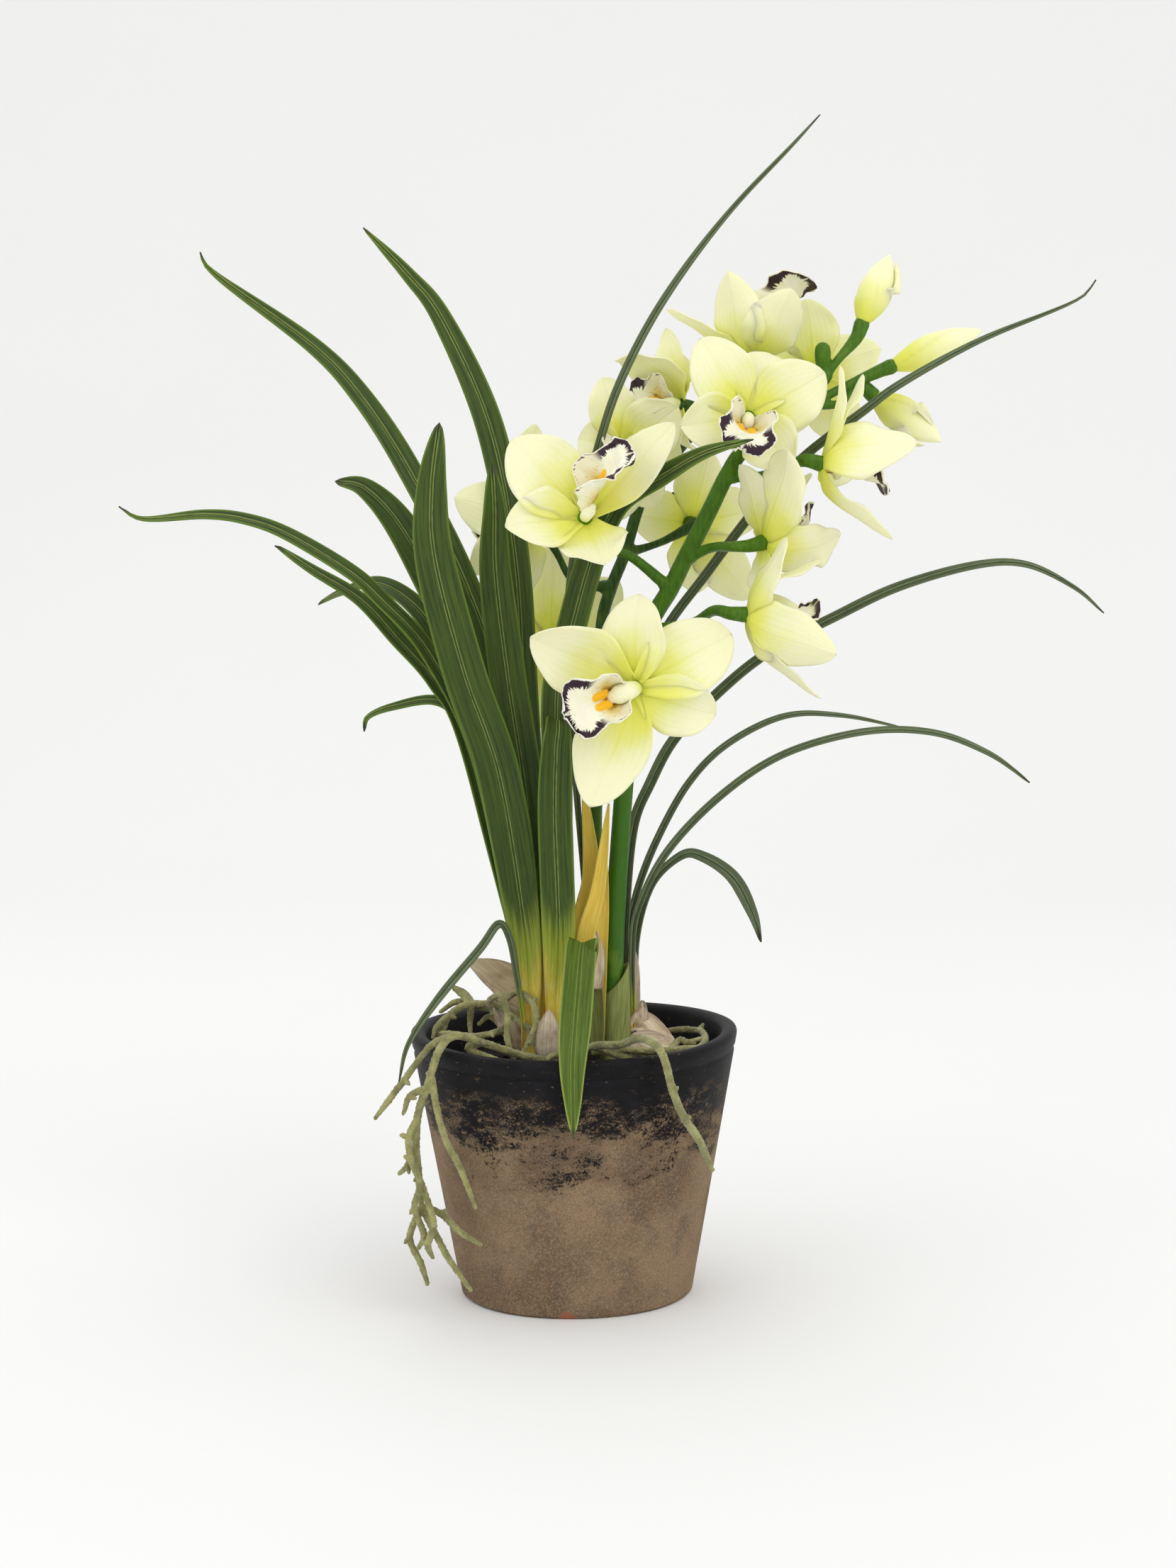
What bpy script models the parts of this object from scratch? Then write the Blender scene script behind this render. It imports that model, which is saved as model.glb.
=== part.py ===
"""Potted orchid: a cymbidium in leaf and flower, standing in a tapered clay pot.

The origin is the centre of the pot's foot, +Z is up and -Y is the plant's front.
Routes and placements are given in millimetres and turned into metres by MM.
"""

import math

import bmesh
import bpy
from mathutils import Vector

MM = 0.001

# Pot
POT_HEIGHT = 131.0
POT_FOOT_RADIUS = 56.4
POT_RIM_RADIUS = 80.0
POT_CREST_RADIUS = 75.5
POT_WALL = 8.0
POT_FLOOR = 9.0
POT_STEPS = 48
GAP = 0.4

# Potting mix
MIX_TOP = 115.6
MIX_STEPS = 36

# Plant
PLANT_FOOT = 117.0
LEAF_THICKNESS = 1.1
PETAL_THICKNESS = 0.9
LIP_THICKNESS = 1.0
COLUMN_RADIUS = 2.8
COLUMN_LENGTH = 11.0

LEAF_ROWS = 13
BRACT_ROWS = 5
PETAL_ROWS = (0.26, 0.52, 0.78, 1.0)
PETAL_WIDTHS = (0.46, 0.92, 0.88, 0.16)
LIP_ROWS = 5
LIP_WIDTH = 18.0

# name: (width, the way its upper side faces, points from foot to tip)
LEAVES = {
    "leaf_front_left_tall": (20, (0, -1, 0), [
        (-21, -8, 134), (-23, -10, 176), (-34, -18, 253), (-50, -24, 304), (-63, -28, 358),
        (-64, -28, 391), (-60, -26, 422)]),
    "leaf_front_tall": (17, (0.1, -1, 0), [
        (-14, -4, 134), (-15, -5, 176), (-23, -9, 252), (-30, -12, 303), (-35, -14, 351),
        (-35, -14, 381), (-36, -12, 403)]),
    "leaf_front_short": (16, (0.1, -1, 0), [
        (-9, -14, 135), (-7, -20, 177), (-8, -28, 236), (-7, -34, 267), (-6, -36, 276),
        (-6, -32, 281), (-6, -27, 278), (-6, -24, 268)]),
    "leaf_back_left_upright": (14, (-0.2, -1, 0.1), [
        (-14, 3, 133), (-16, 5, 181), (-22, 10, 285), (-26, 18, 360), (-38, 28, 425),
        (-61, 40, 478), (-78, 48, 501), (-101, 58, 526)]),
    "leaf_left_long": (12, (0.2, -0.9, 0.4), [
        (-17, 8, 132), (-22, 10, 181), (-36, 16, 296), (-50, 22, 345), (-77, 28, 401),
        (-101, 32, 439), (-125, 34, 465), (-172, 34, 500), (-179, 32, 511)]),
    "leaf_left_broad": (17, (0.1, -0.9, 0.4), [
        (-16, 13, 131), (-21, 16, 180), (-37, 26, 281), (-49, 34, 310), (-80, 46, 370),
        (-101, 56, 395), (-118, 64, 400)]),
    "leaf_left_arching": (10, (0.1, -0.7, 0.7), [
        (-24, -2, 133), (-28, -2, 172), (-43, -4, 259), (-67, -8, 312), (-90, -14, 339),
        (-105, -20, 353), (-132, -30, 370), (-151, -38, 377), (-169, -46, 379),
        (-195, -58, 377), (-205, -62, 383)]),
    "leaf_left_middle": (10, (0.1, -0.7, 0.7), [
        (-23, 3, 133), (-27, 4, 171), (-50, 7, 268), (-65, 6, 298), (-83, 6, 319),
        (-101, 4, 339), (-124, 0, 354), (-141, -4, 366)]),
    "leaf_back_left_arching": (12, (0, -0.7, 0.7), [
        (-16, 22, 131), (-22, 26, 173), (-44, 38, 271), (-62, 50, 313), (-78, 60, 336),
        (-98, 72, 348), (-117, 86, 344), (-131, 96, 338)]),
    "leaf_left_low": (7, (0.1, -0.7, 0.7), [
        (-20, 18, 131), (-25, 20, 170), (-41, 25, 243), (-54, 28, 278), (-67, 30, 289),
        (-89, 32, 286), (-101, 34, 281), (-103, 34, 274)]),
    "leaf_front_arching": (14, (-0.3, -1, 0.2), [
        (-4, -7, 134), (-5, -9, 176), (-6, -17, 245), (-6, -22, 295), (2, -26, 327),
        (12, -30, 360), (24, -34, 383), (45, -48, 395), (63, -67, 404), (84, -77, 409)]),
    "leaf_tall_thin": (7, (0.3, -1, 0), [
        (9, 27, 133), (7, 26, 179), (0, 18, 285), (0, 8, 340), (7, -2, 381), (16, -10, 415),
        (25, -15, 440), (40, -16, 469), (59, -14, 497), (82, -10, 525), (109, -4, 553),
        (123, 0, 568)]),
    "leaf_right_long": (7, (-0.3, -1, 0.5), [
        (21, 16, 134), (21, 16, 180), (26, 15, 257), (33, 15, 295), (48, 14, 324), (67, 13, 349),
        (90, 10, 379), (113, 3, 404), (142, -8, 426), (160, -12, 439), (196, -18, 458),
        (239, -26, 475), (249, -28, 485)]),
    "leaf_right_arching": (7.5, (-0.2, -0.8, 0.6), [
        (25, 9, 134), (26, 8, 180), (30, 7, 225), (39, 6, 248), (52, 4, 271), (77, 3, 296),
        (100, 3, 313), (129, 0, 328), (159, -6, 342), (195, -14, 352), (218, -20, 352),
        (239, -28, 341), (252, -34, 329)]),
    "leaf_right_low_back": (5.5, (-0.1, -0.7, 0.7), [
        (26, 23, 133), (27, 23, 168), (32, 26, 192), (43, 30, 219), (59, 35, 246), (79, 41, 265),
        (108, 50, 278), (137, 58, 278), (176, 70, 270)]),
    "leaf_right_low_front": (6.5, (-0.1, -0.7, 0.7), [
        (29, 3, 135), (29, 2, 167), (32, 0, 187), (46, -6, 215), (72, -16, 243), (101, -28, 263),
        (137, -42, 274), (168, -54, 274), (192, -64, 265), (210, -72, 252)]),
    "leaf_right_drooping": (6.5, (-0.2, -0.8, 0.6), [
        (31, 14, 134), (31, 14, 169), (39, 13, 197), (54, 10, 212), (65, 8, 211), (79, 6, 201),
        (88, 4, 184), (92, 2, 170)]),
    "leaf_left_drooping": (7, (0, -0.8, 0.6), [
        (-25, -13, 135), (-28, -13, 159), (-31, -15, 176), (-36, -19, 183), (-45, -26, 172),
        (-64, -40, 151), (-78, -52, 131), (-82, -56, 114)]),
    "leaf_front_hanging": (15, (0.1, -1, 0.3), [
        (3, -17, 135), (4, -19, 160), (5, -26, 172), (4, -38, 174), (2, -60, 157), (0, -81, 138),
        (-1, -86, 124), (-1, -86, 108), (-1, -86, 93)]),
}

# Dry bracts and pale sheaths at the plant's foot, as short broad blades.
BRACTS = {
    "bract_left_dry": (16, (0.2, -0.9, 0.4), [(-22, 30, 119), (-30, 27, 138), (-40, 22, 152), (-49, 18, 162)]),
    "bract_right_dry": (20, (0.2, -0.9, 0.5), [(34, 3, 134), (40, 1, 132), (47, -5, 126), (54, -9, 120)]),
    "sheath_pale": (11, (0.3, -1, 0), [(4, 2, 118), (5, 2, 180), (9, 2, 205), (6, 2, 249)]),
    "sheath_yellow": (8, (-0.4, -1, 0), [(5, -14, 150), (6, -14, 178), (13, -13, 200), (18, -12, 240)]),
}
SHEATH_GREEN_Z = (117.5, 161.0)
SHEATH_GREEN_RADIUS = 6.6

# Flower stems: a route from foot to tip, then side stalks. A point is (x, y, z, radius). A stalk is
# (the point of the route it leaves from, its own points, the bloom's number or the bud that it carries).
SPIKES = {
    "spike_front": (
        [(20, -2, 118, 4.6), (20, -2, 169, 4.6), (25, -2, 240, 4.5), (30, -2, 285, 4.3),
         (38, -4, 323, 4.2), (49, -5, 343, 4.2), (56, -6, 357, 4.0), (68, -8, 380, 3.8),
         (76, -8, 396, 3.8), (85, -8, 409, 3.6), (104, -8, 420, 3.4), (117, -6, 430, 3.2),
         (122, -5, 441, 3.0), (123, -5, 455, 3.3)],
        [(4, [(38, -18, 318, 2.4)], 1),
         (5, [(29, -9, 359, 2.3), (14, -14, 362, 2.2), (3, -30, 368, 2.2)], 2),
         (9, [(88, -14, 416, 2.2)], 3),
         (10, [(100, 0, 434, 2.2)], 4),
         (8, [(92, -14, 396, 2.2), (104, -27, 400, 2.2)], 5),
         (4, [(58, -14, 326, 2.4), (68, -32, 332, 2.6)], 6),
         (6, [(68, -15, 362, 2.4), (78, -34, 362, 2.6)], 7),
         (12, [(122, 8, 445, 2.0)], 13),
         (12, [(130, -4, 451, 2.1)], "bud_upper"),
         (11, [(130, 1, 437, 2.2)], "bud_right"),
         (11, [(132, 0, 431, 2.0)], "bud_half_open")]),
    "spike_back": (
        [(12, 18, 118, 3.3), (11, 20, 186, 3.3), (12, 23, 232, 3.2), (14, 25, 284, 3.2),
         (16, 27, 325, 3.1), (21, 29, 344, 3.1), (28, 31, 361, 3.0), (36, 34, 386, 2.9),
         (46, 38, 401, 2.8), (58, 42, 415, 2.7), (68, 42, 427, 2.6)],
        [(9, [(62, 32, 424, 1.9)], 8),
         (7, [(36, 26, 399, 1.9)], 9),
         (6, [(45, 34, 366, 1.9)], 10),
         (3, [(4, 28, 300, 1.9)], 11),
         (5, [(3, 26, 347, 1.9), (-6, 24, 362, 1.9)], 12)]),
}
STALK_END_RADIUS = 2.4

# Blooms: the centre, the way the bloom faces, its five tepals as (tip from the centre, width), and
# the lip's tip from the centre.
BLOOMS = [
    ((30, -55, 297), (-0.4, -1, -0.15),
     [((-47, -8, 22), 32), ((1, -5, 43), 28), ((47, 5, 25), 30), ((38, 0, -14), 27), ((-22, -12, -52), 32)],
     (-30, -24, -12)),
    ((8, -46, 376), (0.1, -1, 0.15),
     [((-33, -4, 36), 33), ((-36, -10, -3), 24), ((8, -24, -20), 27), ((40, -12, 41), 17), ((3, 24, 22), 22)],
     (12, -22, 28)),
    ((85, -32, 422), (0, -1, -0.1),
     [((-22, -4, 37), 27), ((13, 10, 32), 25), ((36, -4, 20), 30), ((19, -8, -22), 25), ((-31, -8, -4), 25)],
     (-4, -30, -13)),
    ((91, 2, 454), (0.2, 0.2, 1),
     [((-11, -12, 39), 26), ((15, -20, 30), 25), ((-39, 8, 26), 20), ((9, 26, 32), 22), ((22, 14, 26), 22)],
     (10, 2, 32)),
    ((119, -36, 400), (0.9, 0.1, -0.2),
     [((42, -16, 6), 28), ((12, -4, 44), 18), ((24, 14, 40), 20), ((34, 0, -32), 18), ((30, 36, 4), 26)],
     (32, 4, -10)),
    ((83, -42, 330), (0.95, 0.1, -0.1),
     [((20, -18, 33), 26), ((36, 4, 22), 22), ((40, -20, -17), 28), ((36, 4, -36), 20), ((34, 26, -4), 22)],
     (34, 2, 2)),
    ((92, -28, 364), (0.8, 0.5, 0.2),
     [((13, -26, 41), 27), ((-8, 4, 37), 22), ((-5, 4, -22), 14), ((26, 22, 30), 24), ((40, 12, 2), 24)],
     (26, 20, 8)),
    ((56, 16, 432), (-0.8, -0.4, 0.2),
     [((-32, -12, 24), 27), ((-9, 4, 37), 27), ((14, 18, 20), 22), ((10, 12, -24), 20), ((-6, -4, -33), 22)],
     (-26, -2, 0)),
    ((27, 6, 411), (0.1, -1, -0.1),
     [((-9, -4, 34), 20), ((26, -10, 18), 26), ((-22, 2, 5), 20), ((-7, 2, -36), 24), ((16, 2, -28), 22)],
     (3, -22, -10)),
    ((61, 46, 376), (-0.1, 1, 0.2),
     [((-28, 4, 5), 24), ((10, 4, 36), 22), ((37, 6, 8), 24), ((4, 8, -34), 22), ((30, 6, -38), 24)],
     (-3, 28, 14)),
    ((-9, 50, 317), (0.1, 1, 0),
     [((2, -4, 50), 26), ((35, -2, 30), 26), ((-38, 6, 8), 24), ((-14, 6, -45), 24), ((31, 6, -30), 24)],
     (2, 26, -8)),
    ((-20, 32, 378), (-0.5, 0.7, 0.1),
     [((-35, -2, 11), 25), ((2, 0, 47), 20), ((32, 8, 14), 22), ((-5, 6, -39), 24), ((-28, 8, -24), 24)],
     (-22, 18, -8)),
    ((123, 36, 449), (0.2, 1, 0.2),
     [((-4, -6, 36), 24), ((32, 4, 12), 22), ((-34, 6, 10), 20), ((16, 6, -33), 24), ((-22, 8, -30), 22)],
     (4, 26, -6)),
]

# Buds: foot, tip and greatest width.
BUDS = {
    "bud_upper": ((142.5, 0, 469), (156, 2, 501), 18),
    "bud_right": ((157.5, 6, 449), (201, 10, 466), 16.5),
    "bud_half_open": ((149, 7.5, 435), (181, 8, 413), 19),
}

# Roots: a route with a radius, then branches that start on it, as in SPIKES.
ROOTS = {
    "root_left_hanging": (
        [(-14, -32, 119), (-26, -38, 123), (-43, -44, 130), (-56, -50, 134.6), (-63, -55, 129),
         (-67, -60, 118), (-69, -60, 112), (-72, -56, 104), (-74, -54, 96), (-75, -52, 82), (-74, -50, 67),
         (-73, -48, 53)],
        [(3, [(-67, -47, 130), (-80, -49, 114), (-87, -50, 105), (-94, -50, 96)]),
         (5, [(-64, -60, 100), (-60, -63, 87), (-54, -63, 75), (-47, -63, 56)]),
         (11, [(-79, -46, 38), (-74, -45, 25), (-71, -45, 15)]),
         (11, [(-64, -50, 50), (-55, -56, 43), (-45, -58, 37)]),
         (11, [(-66, -52, 40), (-60, -57, 30), (-50, -60, 16)])]),
    "root_left_loops": (
        [(-66, 0, 125), (-61, 1, 136), (-50, 5, 141), (-39, 5, 138), (-34, 1, 129), (-31, -4, 119)],
        [(2, [(-59, 9, 148)]),
         (3, [(-50, 12, 139), (-58, 12, 141), (-66, 12, 136)]),
         (3, [(-41, -5, 144), (-35, -16, 148), (-32, -20, 140), (-32, -26, 128), (-29, -27, 119)])]),
    "root_right": (
        [(-4, -24, 119), (9, -40, 127), (21, -54, 130), (31, -67, 135), (40, -77, 130), (45, -76, 112),
         (50, -70, 99), (58, -61, 85), (64, -54, 70)],
        [(1, [(24, -34, 124), (44, -32, 123), (58, -28, 123), (63, -14, 124), (64, 4, 124), (62, 18, 124),
              (52, 27, 123), (38, 28, 121)])]),
}
ROOT_RADIUS = 1.9


def unit(vector):
    return Vector(vector).normalized()


def smooth_route(points, count):
    """Points at equal steps of length along a Catmull-Rom curve through the given points."""
    ends = [2 * points[0] - points[1]] + points + [2 * points[-1] - points[-2]]
    fine = []
    for index in range(1, len(ends) - 2):
        before, start, stop, after = ends[index - 1:index + 3]
        for step in range(12):
            t = step / 12
            fine.append(0.5 * (2 * start + (stop - before) * t
                               + (2 * before - 5 * start + 4 * stop - after) * t ** 2
                               + (3 * start - before - 3 * stop + after) * t ** 3))
    fine.append(points[-1])
    lengths = [0.0]
    for first, second in zip(fine, fine[1:]):
        lengths.append(lengths[-1] + (second - first).length)
    route = []
    segment = 0
    for step in range(count):
        wanted = lengths[-1] * step / (count - 1)
        while segment < len(fine) - 2 and lengths[segment + 1] < wanted:
            segment += 1
        span = lengths[segment + 1] - lengths[segment]
        route.append(fine[segment].lerp(fine[segment + 1], (wanted - lengths[segment]) / span))
    return route


def frames(route, facing):
    """For each point of a route, the way across it and the way its upper side faces."""
    found = []
    for index, point in enumerate(route):
        along = (route[min(index + 1, len(route) - 1)] - route[max(index - 1, 0)]).normalized()
        up = facing - facing.dot(along) * along
        if found and up.length < 0.25:
            up = found[-1][1] - found[-1][1].dot(along) * along
        up.normalize()
        if found and up.dot(found[-1][1]) < 0:
            up = -up
        found.append((along.cross(up), up))
    return found


def material(name, colour, roughness, metallic=0.0):
    made = bpy.data.materials.new(name)
    made.use_nodes = True
    shader = made.node_tree.nodes["Principled BSDF"]
    shader.inputs["Base Color"].default_value = (*colour, 1.0)
    shader.inputs["Roughness"].default_value = roughness
    shader.inputs["Metallic"].default_value = metallic
    made.diffuse_color = (*colour, 1.0)
    return made


def add_object(name, mesh, finish, collection):
    mesh.materials.append(finish)
    made = bpy.data.objects.new(name, mesh)
    collection.objects.link(made)
    return made


def solidify(target, thickness):
    modifier = target.modifiers.new("Thickness", "SOLIDIFY")
    modifier.thickness = thickness * MM
    modifier.offset = 0
    modifier.use_even_offset = False
    return modifier


def grid_mesh(name, rows, columns, place):
    """A sheet of rows by columns of faces, each vertex put at place(row, column)."""
    sheet = bmesh.new()
    bmesh.ops.create_grid(sheet, x_segments=columns, y_segments=rows, size=1)
    for vertex in sheet.verts:
        column = round((vertex.co.x + 1) / 2 * columns)
        row = round((vertex.co.y + 1) / 2 * rows)
        vertex.co = place(row, column) * MM
    mesh = bpy.data.meshes.new(name)
    sheet.to_mesh(mesh)
    sheet.free()
    return mesh


def blade(name, width, facing, points, rows, outline, fold, thickness, finish, collection, columns=2):
    """A leaf-like strip along a route. outline(t) is its width as a share, fold its keel's depth."""
    route = smooth_route([Vector(point) for point in points], rows + 1)
    sides = frames(route, unit(facing))

    def place(row, column):
        across, up = sides[row]
        share = 2 * column / columns - 1
        half = 0.5 * width * outline(row / rows)
        return route[row] + across * share * half + up * fold * half * share ** 2

    made = add_object(name, grid_mesh(name, rows, columns, place), finish, collection)
    solidify(made, thickness)
    made.data.shade_smooth()
    return made


def leaf_outline(t):
    foot = 0.55 + 0.45 * min(t / 0.3, 1.0)
    tip = max(1.0 - max(t - 0.72, 0.0) / 0.28, 0.0) ** 0.6
    return max(foot * tip, 0.1)


def bract_outline(t):
    return max(math.sin(math.pi * (0.3 + 0.66 * t)), 0.1)


def lip_outline(t):
    return 0.5 + 0.55 * math.sin(math.pi * min(t * 0.9, 1.0))


def turned(name, profile, steps, finish, collection):
    """A turned body. Its profile runs from the axis, up inside, and down its outer side."""
    mesh = bpy.data.meshes.new(name)
    points = [(radius * MM, 0, height * MM) for radius, height in profile]
    mesh.from_pydata(points, [(i, i + 1) for i in range(len(points) - 1)], [])
    made = add_object(name, mesh, finish, collection)
    screw = made.modifiers.new("Turn", "SCREW")
    screw.axis = "Z"
    screw.angle = 2 * math.pi
    screw.steps = steps
    screw.render_steps = steps
    screw.use_merge_vertices = True
    screw.merge_threshold = 0.00005
    screw.use_smooth_shade = True
    return made


def pot_profile():
    inner_top = POT_CREST_RADIUS - 4
    inner_foot = POT_FOOT_RADIUS - POT_WALL + 3
    profile = [(0, POT_FLOOR), (inner_foot, POT_FLOOR), (inner_foot + 2, POT_FLOOR + 2)]
    profile += [(inner_top - 2, POT_HEIGHT - 14), (inner_top, POT_HEIGHT - 4)]
    for step in range(5):
        angle = math.radians(150 - 38 * step)
        profile.append((POT_CREST_RADIUS + 4.5 * math.cos(angle), POT_HEIGHT - 4.5 + 4.5 * math.sin(angle)))
    profile += [(POT_RIM_RADIUS, POT_HEIGHT - 9), (POT_RIM_RADIUS - 1.2, POT_HEIGHT - 12)]
    profile += [(POT_FOOT_RADIUS + 0.8, 2), (POT_FOOT_RADIUS - 1.0, 0), (0, 0)]
    return profile


def make_pot(finishes, collection):
    turned("pot", pot_profile(), POT_STEPS, finishes["pot"], collection)
    foot = POT_FOOT_RADIUS - POT_WALL + 2
    top = POT_CREST_RADIUS - 7
    profile = [(0, MIX_TOP), (30, MIX_TOP - 0.2), (56, MIX_TOP - 1.0), (top, MIX_TOP - 3)]
    profile += [(foot, POT_FLOOR + GAP), (0, POT_FLOOR + GAP)]
    turned("potting_mix", profile, MIX_STEPS, finishes["mix"], collection)


def make_leaves(finishes, collection):
    for name, (width, facing, points) in LEAVES.items():
        foot = (points[0][0], points[0][1], PLANT_FOOT)
        blade(name, width, facing, [foot] + points, LEAF_ROWS, leaf_outline, 0.22, LEAF_THICKNESS,
              finishes["leaf"], collection)
    for name, (width, facing, points) in BRACTS.items():
        finish = finishes["dry"] if name.startswith("bract") else finishes["sheath"]
        blade(name, width, facing, points, BRACT_ROWS, bract_outline, 0.3, LEAF_THICKNESS, finish, collection)


def make_stem_sheath(finishes, collection):
    """The green sheath that wraps the front stem's foot, with a slanting upper edge."""
    low, high = SHEATH_GREEN_Z
    columns = 10
    x, y = SPIKES["spike_front"][0][0][:2]

    def place(row, column):
        angle = math.radians(100 + 320 * column / columns)
        top = high - 14 * (0.5 - 0.5 * math.cos(angle - math.radians(20)))
        height = low + (top - low) * row / 4
        return Vector((x + SHEATH_GREEN_RADIUS * math.cos(angle), y + SHEATH_GREEN_RADIUS * math.sin(angle), height))

    made = add_object("sheath_green", grid_mesh("sheath_green", 4, columns, place), finishes["sheath_green"],
                      collection)
    solidify(made, 0.9)
    made.data.shade_smooth()


def tube(name, route, radii, finish, collection):
    """A capped round tube through the points of a route, as a closed mesh."""
    curve = bpy.data.curves.new(name, "CURVE")
    curve.dimensions = "3D"
    curve.bevel_depth = MM
    curve.bevel_resolution = 2
    curve.use_fill_caps = True
    spline = curve.splines.new("POLY")
    spline.points.add(len(route) - 1)
    for spot, point, radius in zip(spline.points, route, radii):
        spot.co = (*(point * MM), 1)
        spot.radius = radius
    guide = bpy.data.objects.new(name, curve)
    collection.objects.link(guide)
    bpy.context.view_layer.update()
    mesh = bpy.data.meshes.new_from_object(guide.evaluated_get(bpy.context.evaluated_depsgraph_get()))
    bpy.data.objects.remove(guide)
    shape = bmesh.new()
    shape.from_mesh(mesh)
    bmesh.ops.remove_doubles(shape, verts=shape.verts, dist=0.00001)
    bmesh.ops.recalc_face_normals(shape, faces=shape.faces)
    shape.to_mesh(mesh)
    shape.free()
    mesh.materials.clear()
    made = add_object(name, mesh, finish, collection)
    mesh.shade_smooth()
    return made


def branching(name, main, branches, radii, finish, collection, joined):
    """A stem or root: its side branches are united with it, so that it is one body."""
    made = tube(name, main, radii[0], finish, collection)
    for number, ((start, branch), branch_radii) in enumerate(zip(branches, radii[1:])):
        first = main[start].lerp(branch[0], 0.1)
        stalk = tube(f"{name}_branch_{number}", [first] + branch, [branch_radii[0]] + branch_radii, finish, joined)
        stalk.hide_render = True
        stalk.display_type = "WIRE"
        union = made.modifiers.new("Join", "BOOLEAN")
        union.operation = "UNION"
        union.object = stalk
    return made


def stalk_end(carried):
    """The last two points of a stalk, so that it meets its bloom or bud square on."""
    if carried in BUDS:
        foot, tip, _ = BUDS[carried]
        foot = Vector(foot)
        along = (Vector(tip) - foot).normalized()
    else:
        foot = Vector(BLOOMS[carried - 1][0])
        along = unit(BLOOMS[carried - 1][1])
    return [foot - along * 8, foot - along * 1.0]


def make_spikes(finishes, collection, joined):
    for name, (main, stalks) in SPIKES.items():
        radii = [[point[3] for point in main]]
        branches = []
        for start, points, carried in stalks:
            branches.append((start, [Vector(point[:3]) for point in points] + stalk_end(carried)))
            radii.append([point[3] for point in points] + [STALK_END_RADIUS] * 2)
        branching(name, [Vector(point[:3]) for point in main], branches, radii, finishes["stem"], collection,
                  joined)


def make_roots(finishes, collection, joined):
    for name, (main, twigs) in ROOTS.items():
        radii = [[ROOT_RADIUS] * len(main)] + [[ROOT_RADIUS * 0.85] * len(twig) for _, twig in twigs]
        branching(name, [Vector(point) for point in main],
                  [(start, [Vector(point) for point in twig]) for start, twig in twigs],
                  radii, finishes["root"], collection, joined)


def make_petals(name, centre, facing, tepals, finish, collection):
    """Five tepals round a hollow column, drawn out of one ring of ten edges."""
    side = facing.orthogonal().normalized()
    other = facing.cross(side)

    def angle_of(tepal):
        tip = Vector(tepal[0])
        return math.atan2(tip.dot(other), tip.dot(side))

    order = sorted(tepals, key=angle_of)
    angles = [angle_of(tepal) for tepal in order]
    flower = bmesh.new()
    ring = []
    for before, here in zip([angles[-1] - 2 * math.pi] + angles, angles):
        for angle in ((before + here) / 2, here):
            ring.append(flower.verts.new(COLUMN_RADIUS * (side * math.cos(angle) + other * math.sin(angle))))
    loop = [flower.edges.new((ring[index], ring[(index + 1) % 10])) for index in range(10)]
    risen = bmesh.ops.extrude_edge_only(flower, edges=loop)["geom"]
    top = [item for item in risen if isinstance(item, bmesh.types.BMVert)]
    bmesh.ops.translate(flower, verts=top, vec=facing * COLUMN_LENGTH)
    bmesh.ops.holes_fill(flower, edges=[item for item in risen if isinstance(item, bmesh.types.BMEdge)], sides=10)
    for index, (tip, width) in enumerate(order):
        tip = Vector(tip)
        outward = side * math.cos(angles[index]) + other * math.sin(angles[index])
        row = [ring[(2 * index + offset) % 10] for offset in range(3)]
        foot = outward * COLUMN_RADIUS
        bend = outward * 0.35 * tip.length
        back = foot
        for share, spread in zip(PETAL_ROWS, PETAL_WIDTHS):
            spot = foot * (1 - share) ** 2 + (foot + bend) * 2 * share * (1 - share) + tip * share ** 2
            across = facing.cross(outward).lerp(facing.cross(tip.normalized()), share).normalized()
            inner = across.cross(spot - back).normalized()
            back = spot
            new_row = []
            for offset in (-1, 0, 1):
                lift = inner * -0.1 * width * spread * offset ** 2
                new_row.append(flower.verts.new(spot + across * offset * 0.5 * width * spread - lift))
            for left in range(2):
                flower.faces.new((row[left], row[left + 1], new_row[left + 1], new_row[left]))
            row = new_row
    bmesh.ops.recalc_face_normals(flower, faces=flower.faces)
    for vertex in flower.verts:
        vertex.co = (centre + vertex.co) * MM
    mesh = bpy.data.meshes.new(name)
    flower.to_mesh(mesh)
    flower.free()
    made = add_object(name, mesh, finish, collection)
    solidify(made, PETAL_THICKNESS)
    made.data.shade_smooth()


def make_lip(name, centre, facing, tip, finish, collection):
    """The lip: a trough that starts under the column and opens towards it."""
    tip = Vector(tip)
    down = (tip - tip.dot(facing) * facing).normalized()
    start = facing * 6 + down * 8.5
    middle = start.lerp(tip, 0.5) + down * 5
    points = [centre + start, centre + middle, centre + tip]
    blade(name, LIP_WIDTH, -down, points, LIP_ROWS, lip_outline, 0.75, LIP_THICKNESS, finish, collection, 4)


def make_blooms(finishes, collection):
    for number, (centre, facing, tepals, lip_tip) in enumerate(BLOOMS, 1):
        name = f"bloom_{number:02d}"
        centre = Vector(centre)
        facing = unit(facing)
        make_petals(name + "_petals", centre, facing, tepals, finishes["petal"], collection)
        make_lip(name + "_lip", centre, facing, lip_tip, finishes["lip"], collection)


def make_buds(finishes, collection):
    for name, (foot, tip, width) in BUDS.items():
        foot = Vector(foot)
        tip = Vector(tip)
        bud = bmesh.new()
        bmesh.ops.create_uvsphere(bud, u_segments=10, v_segments=8, radius=0.5)
        turn = Vector((0, 0, 1)).rotation_difference((tip - foot).normalized())
        for vertex in bud.verts:
            share = vertex.co.z + 0.5
            swell = width * (1.12 - 0.3 * share)
            shaped = Vector((vertex.co.x * swell, vertex.co.y * swell, share * (tip - foot).length))
            vertex.co = (foot + turn @ shaped) * MM
        mesh = bpy.data.meshes.new(name)
        bud.to_mesh(mesh)
        bud.free()
        add_object(name, mesh, finishes["petal"], collection).data.shade_smooth()


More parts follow.
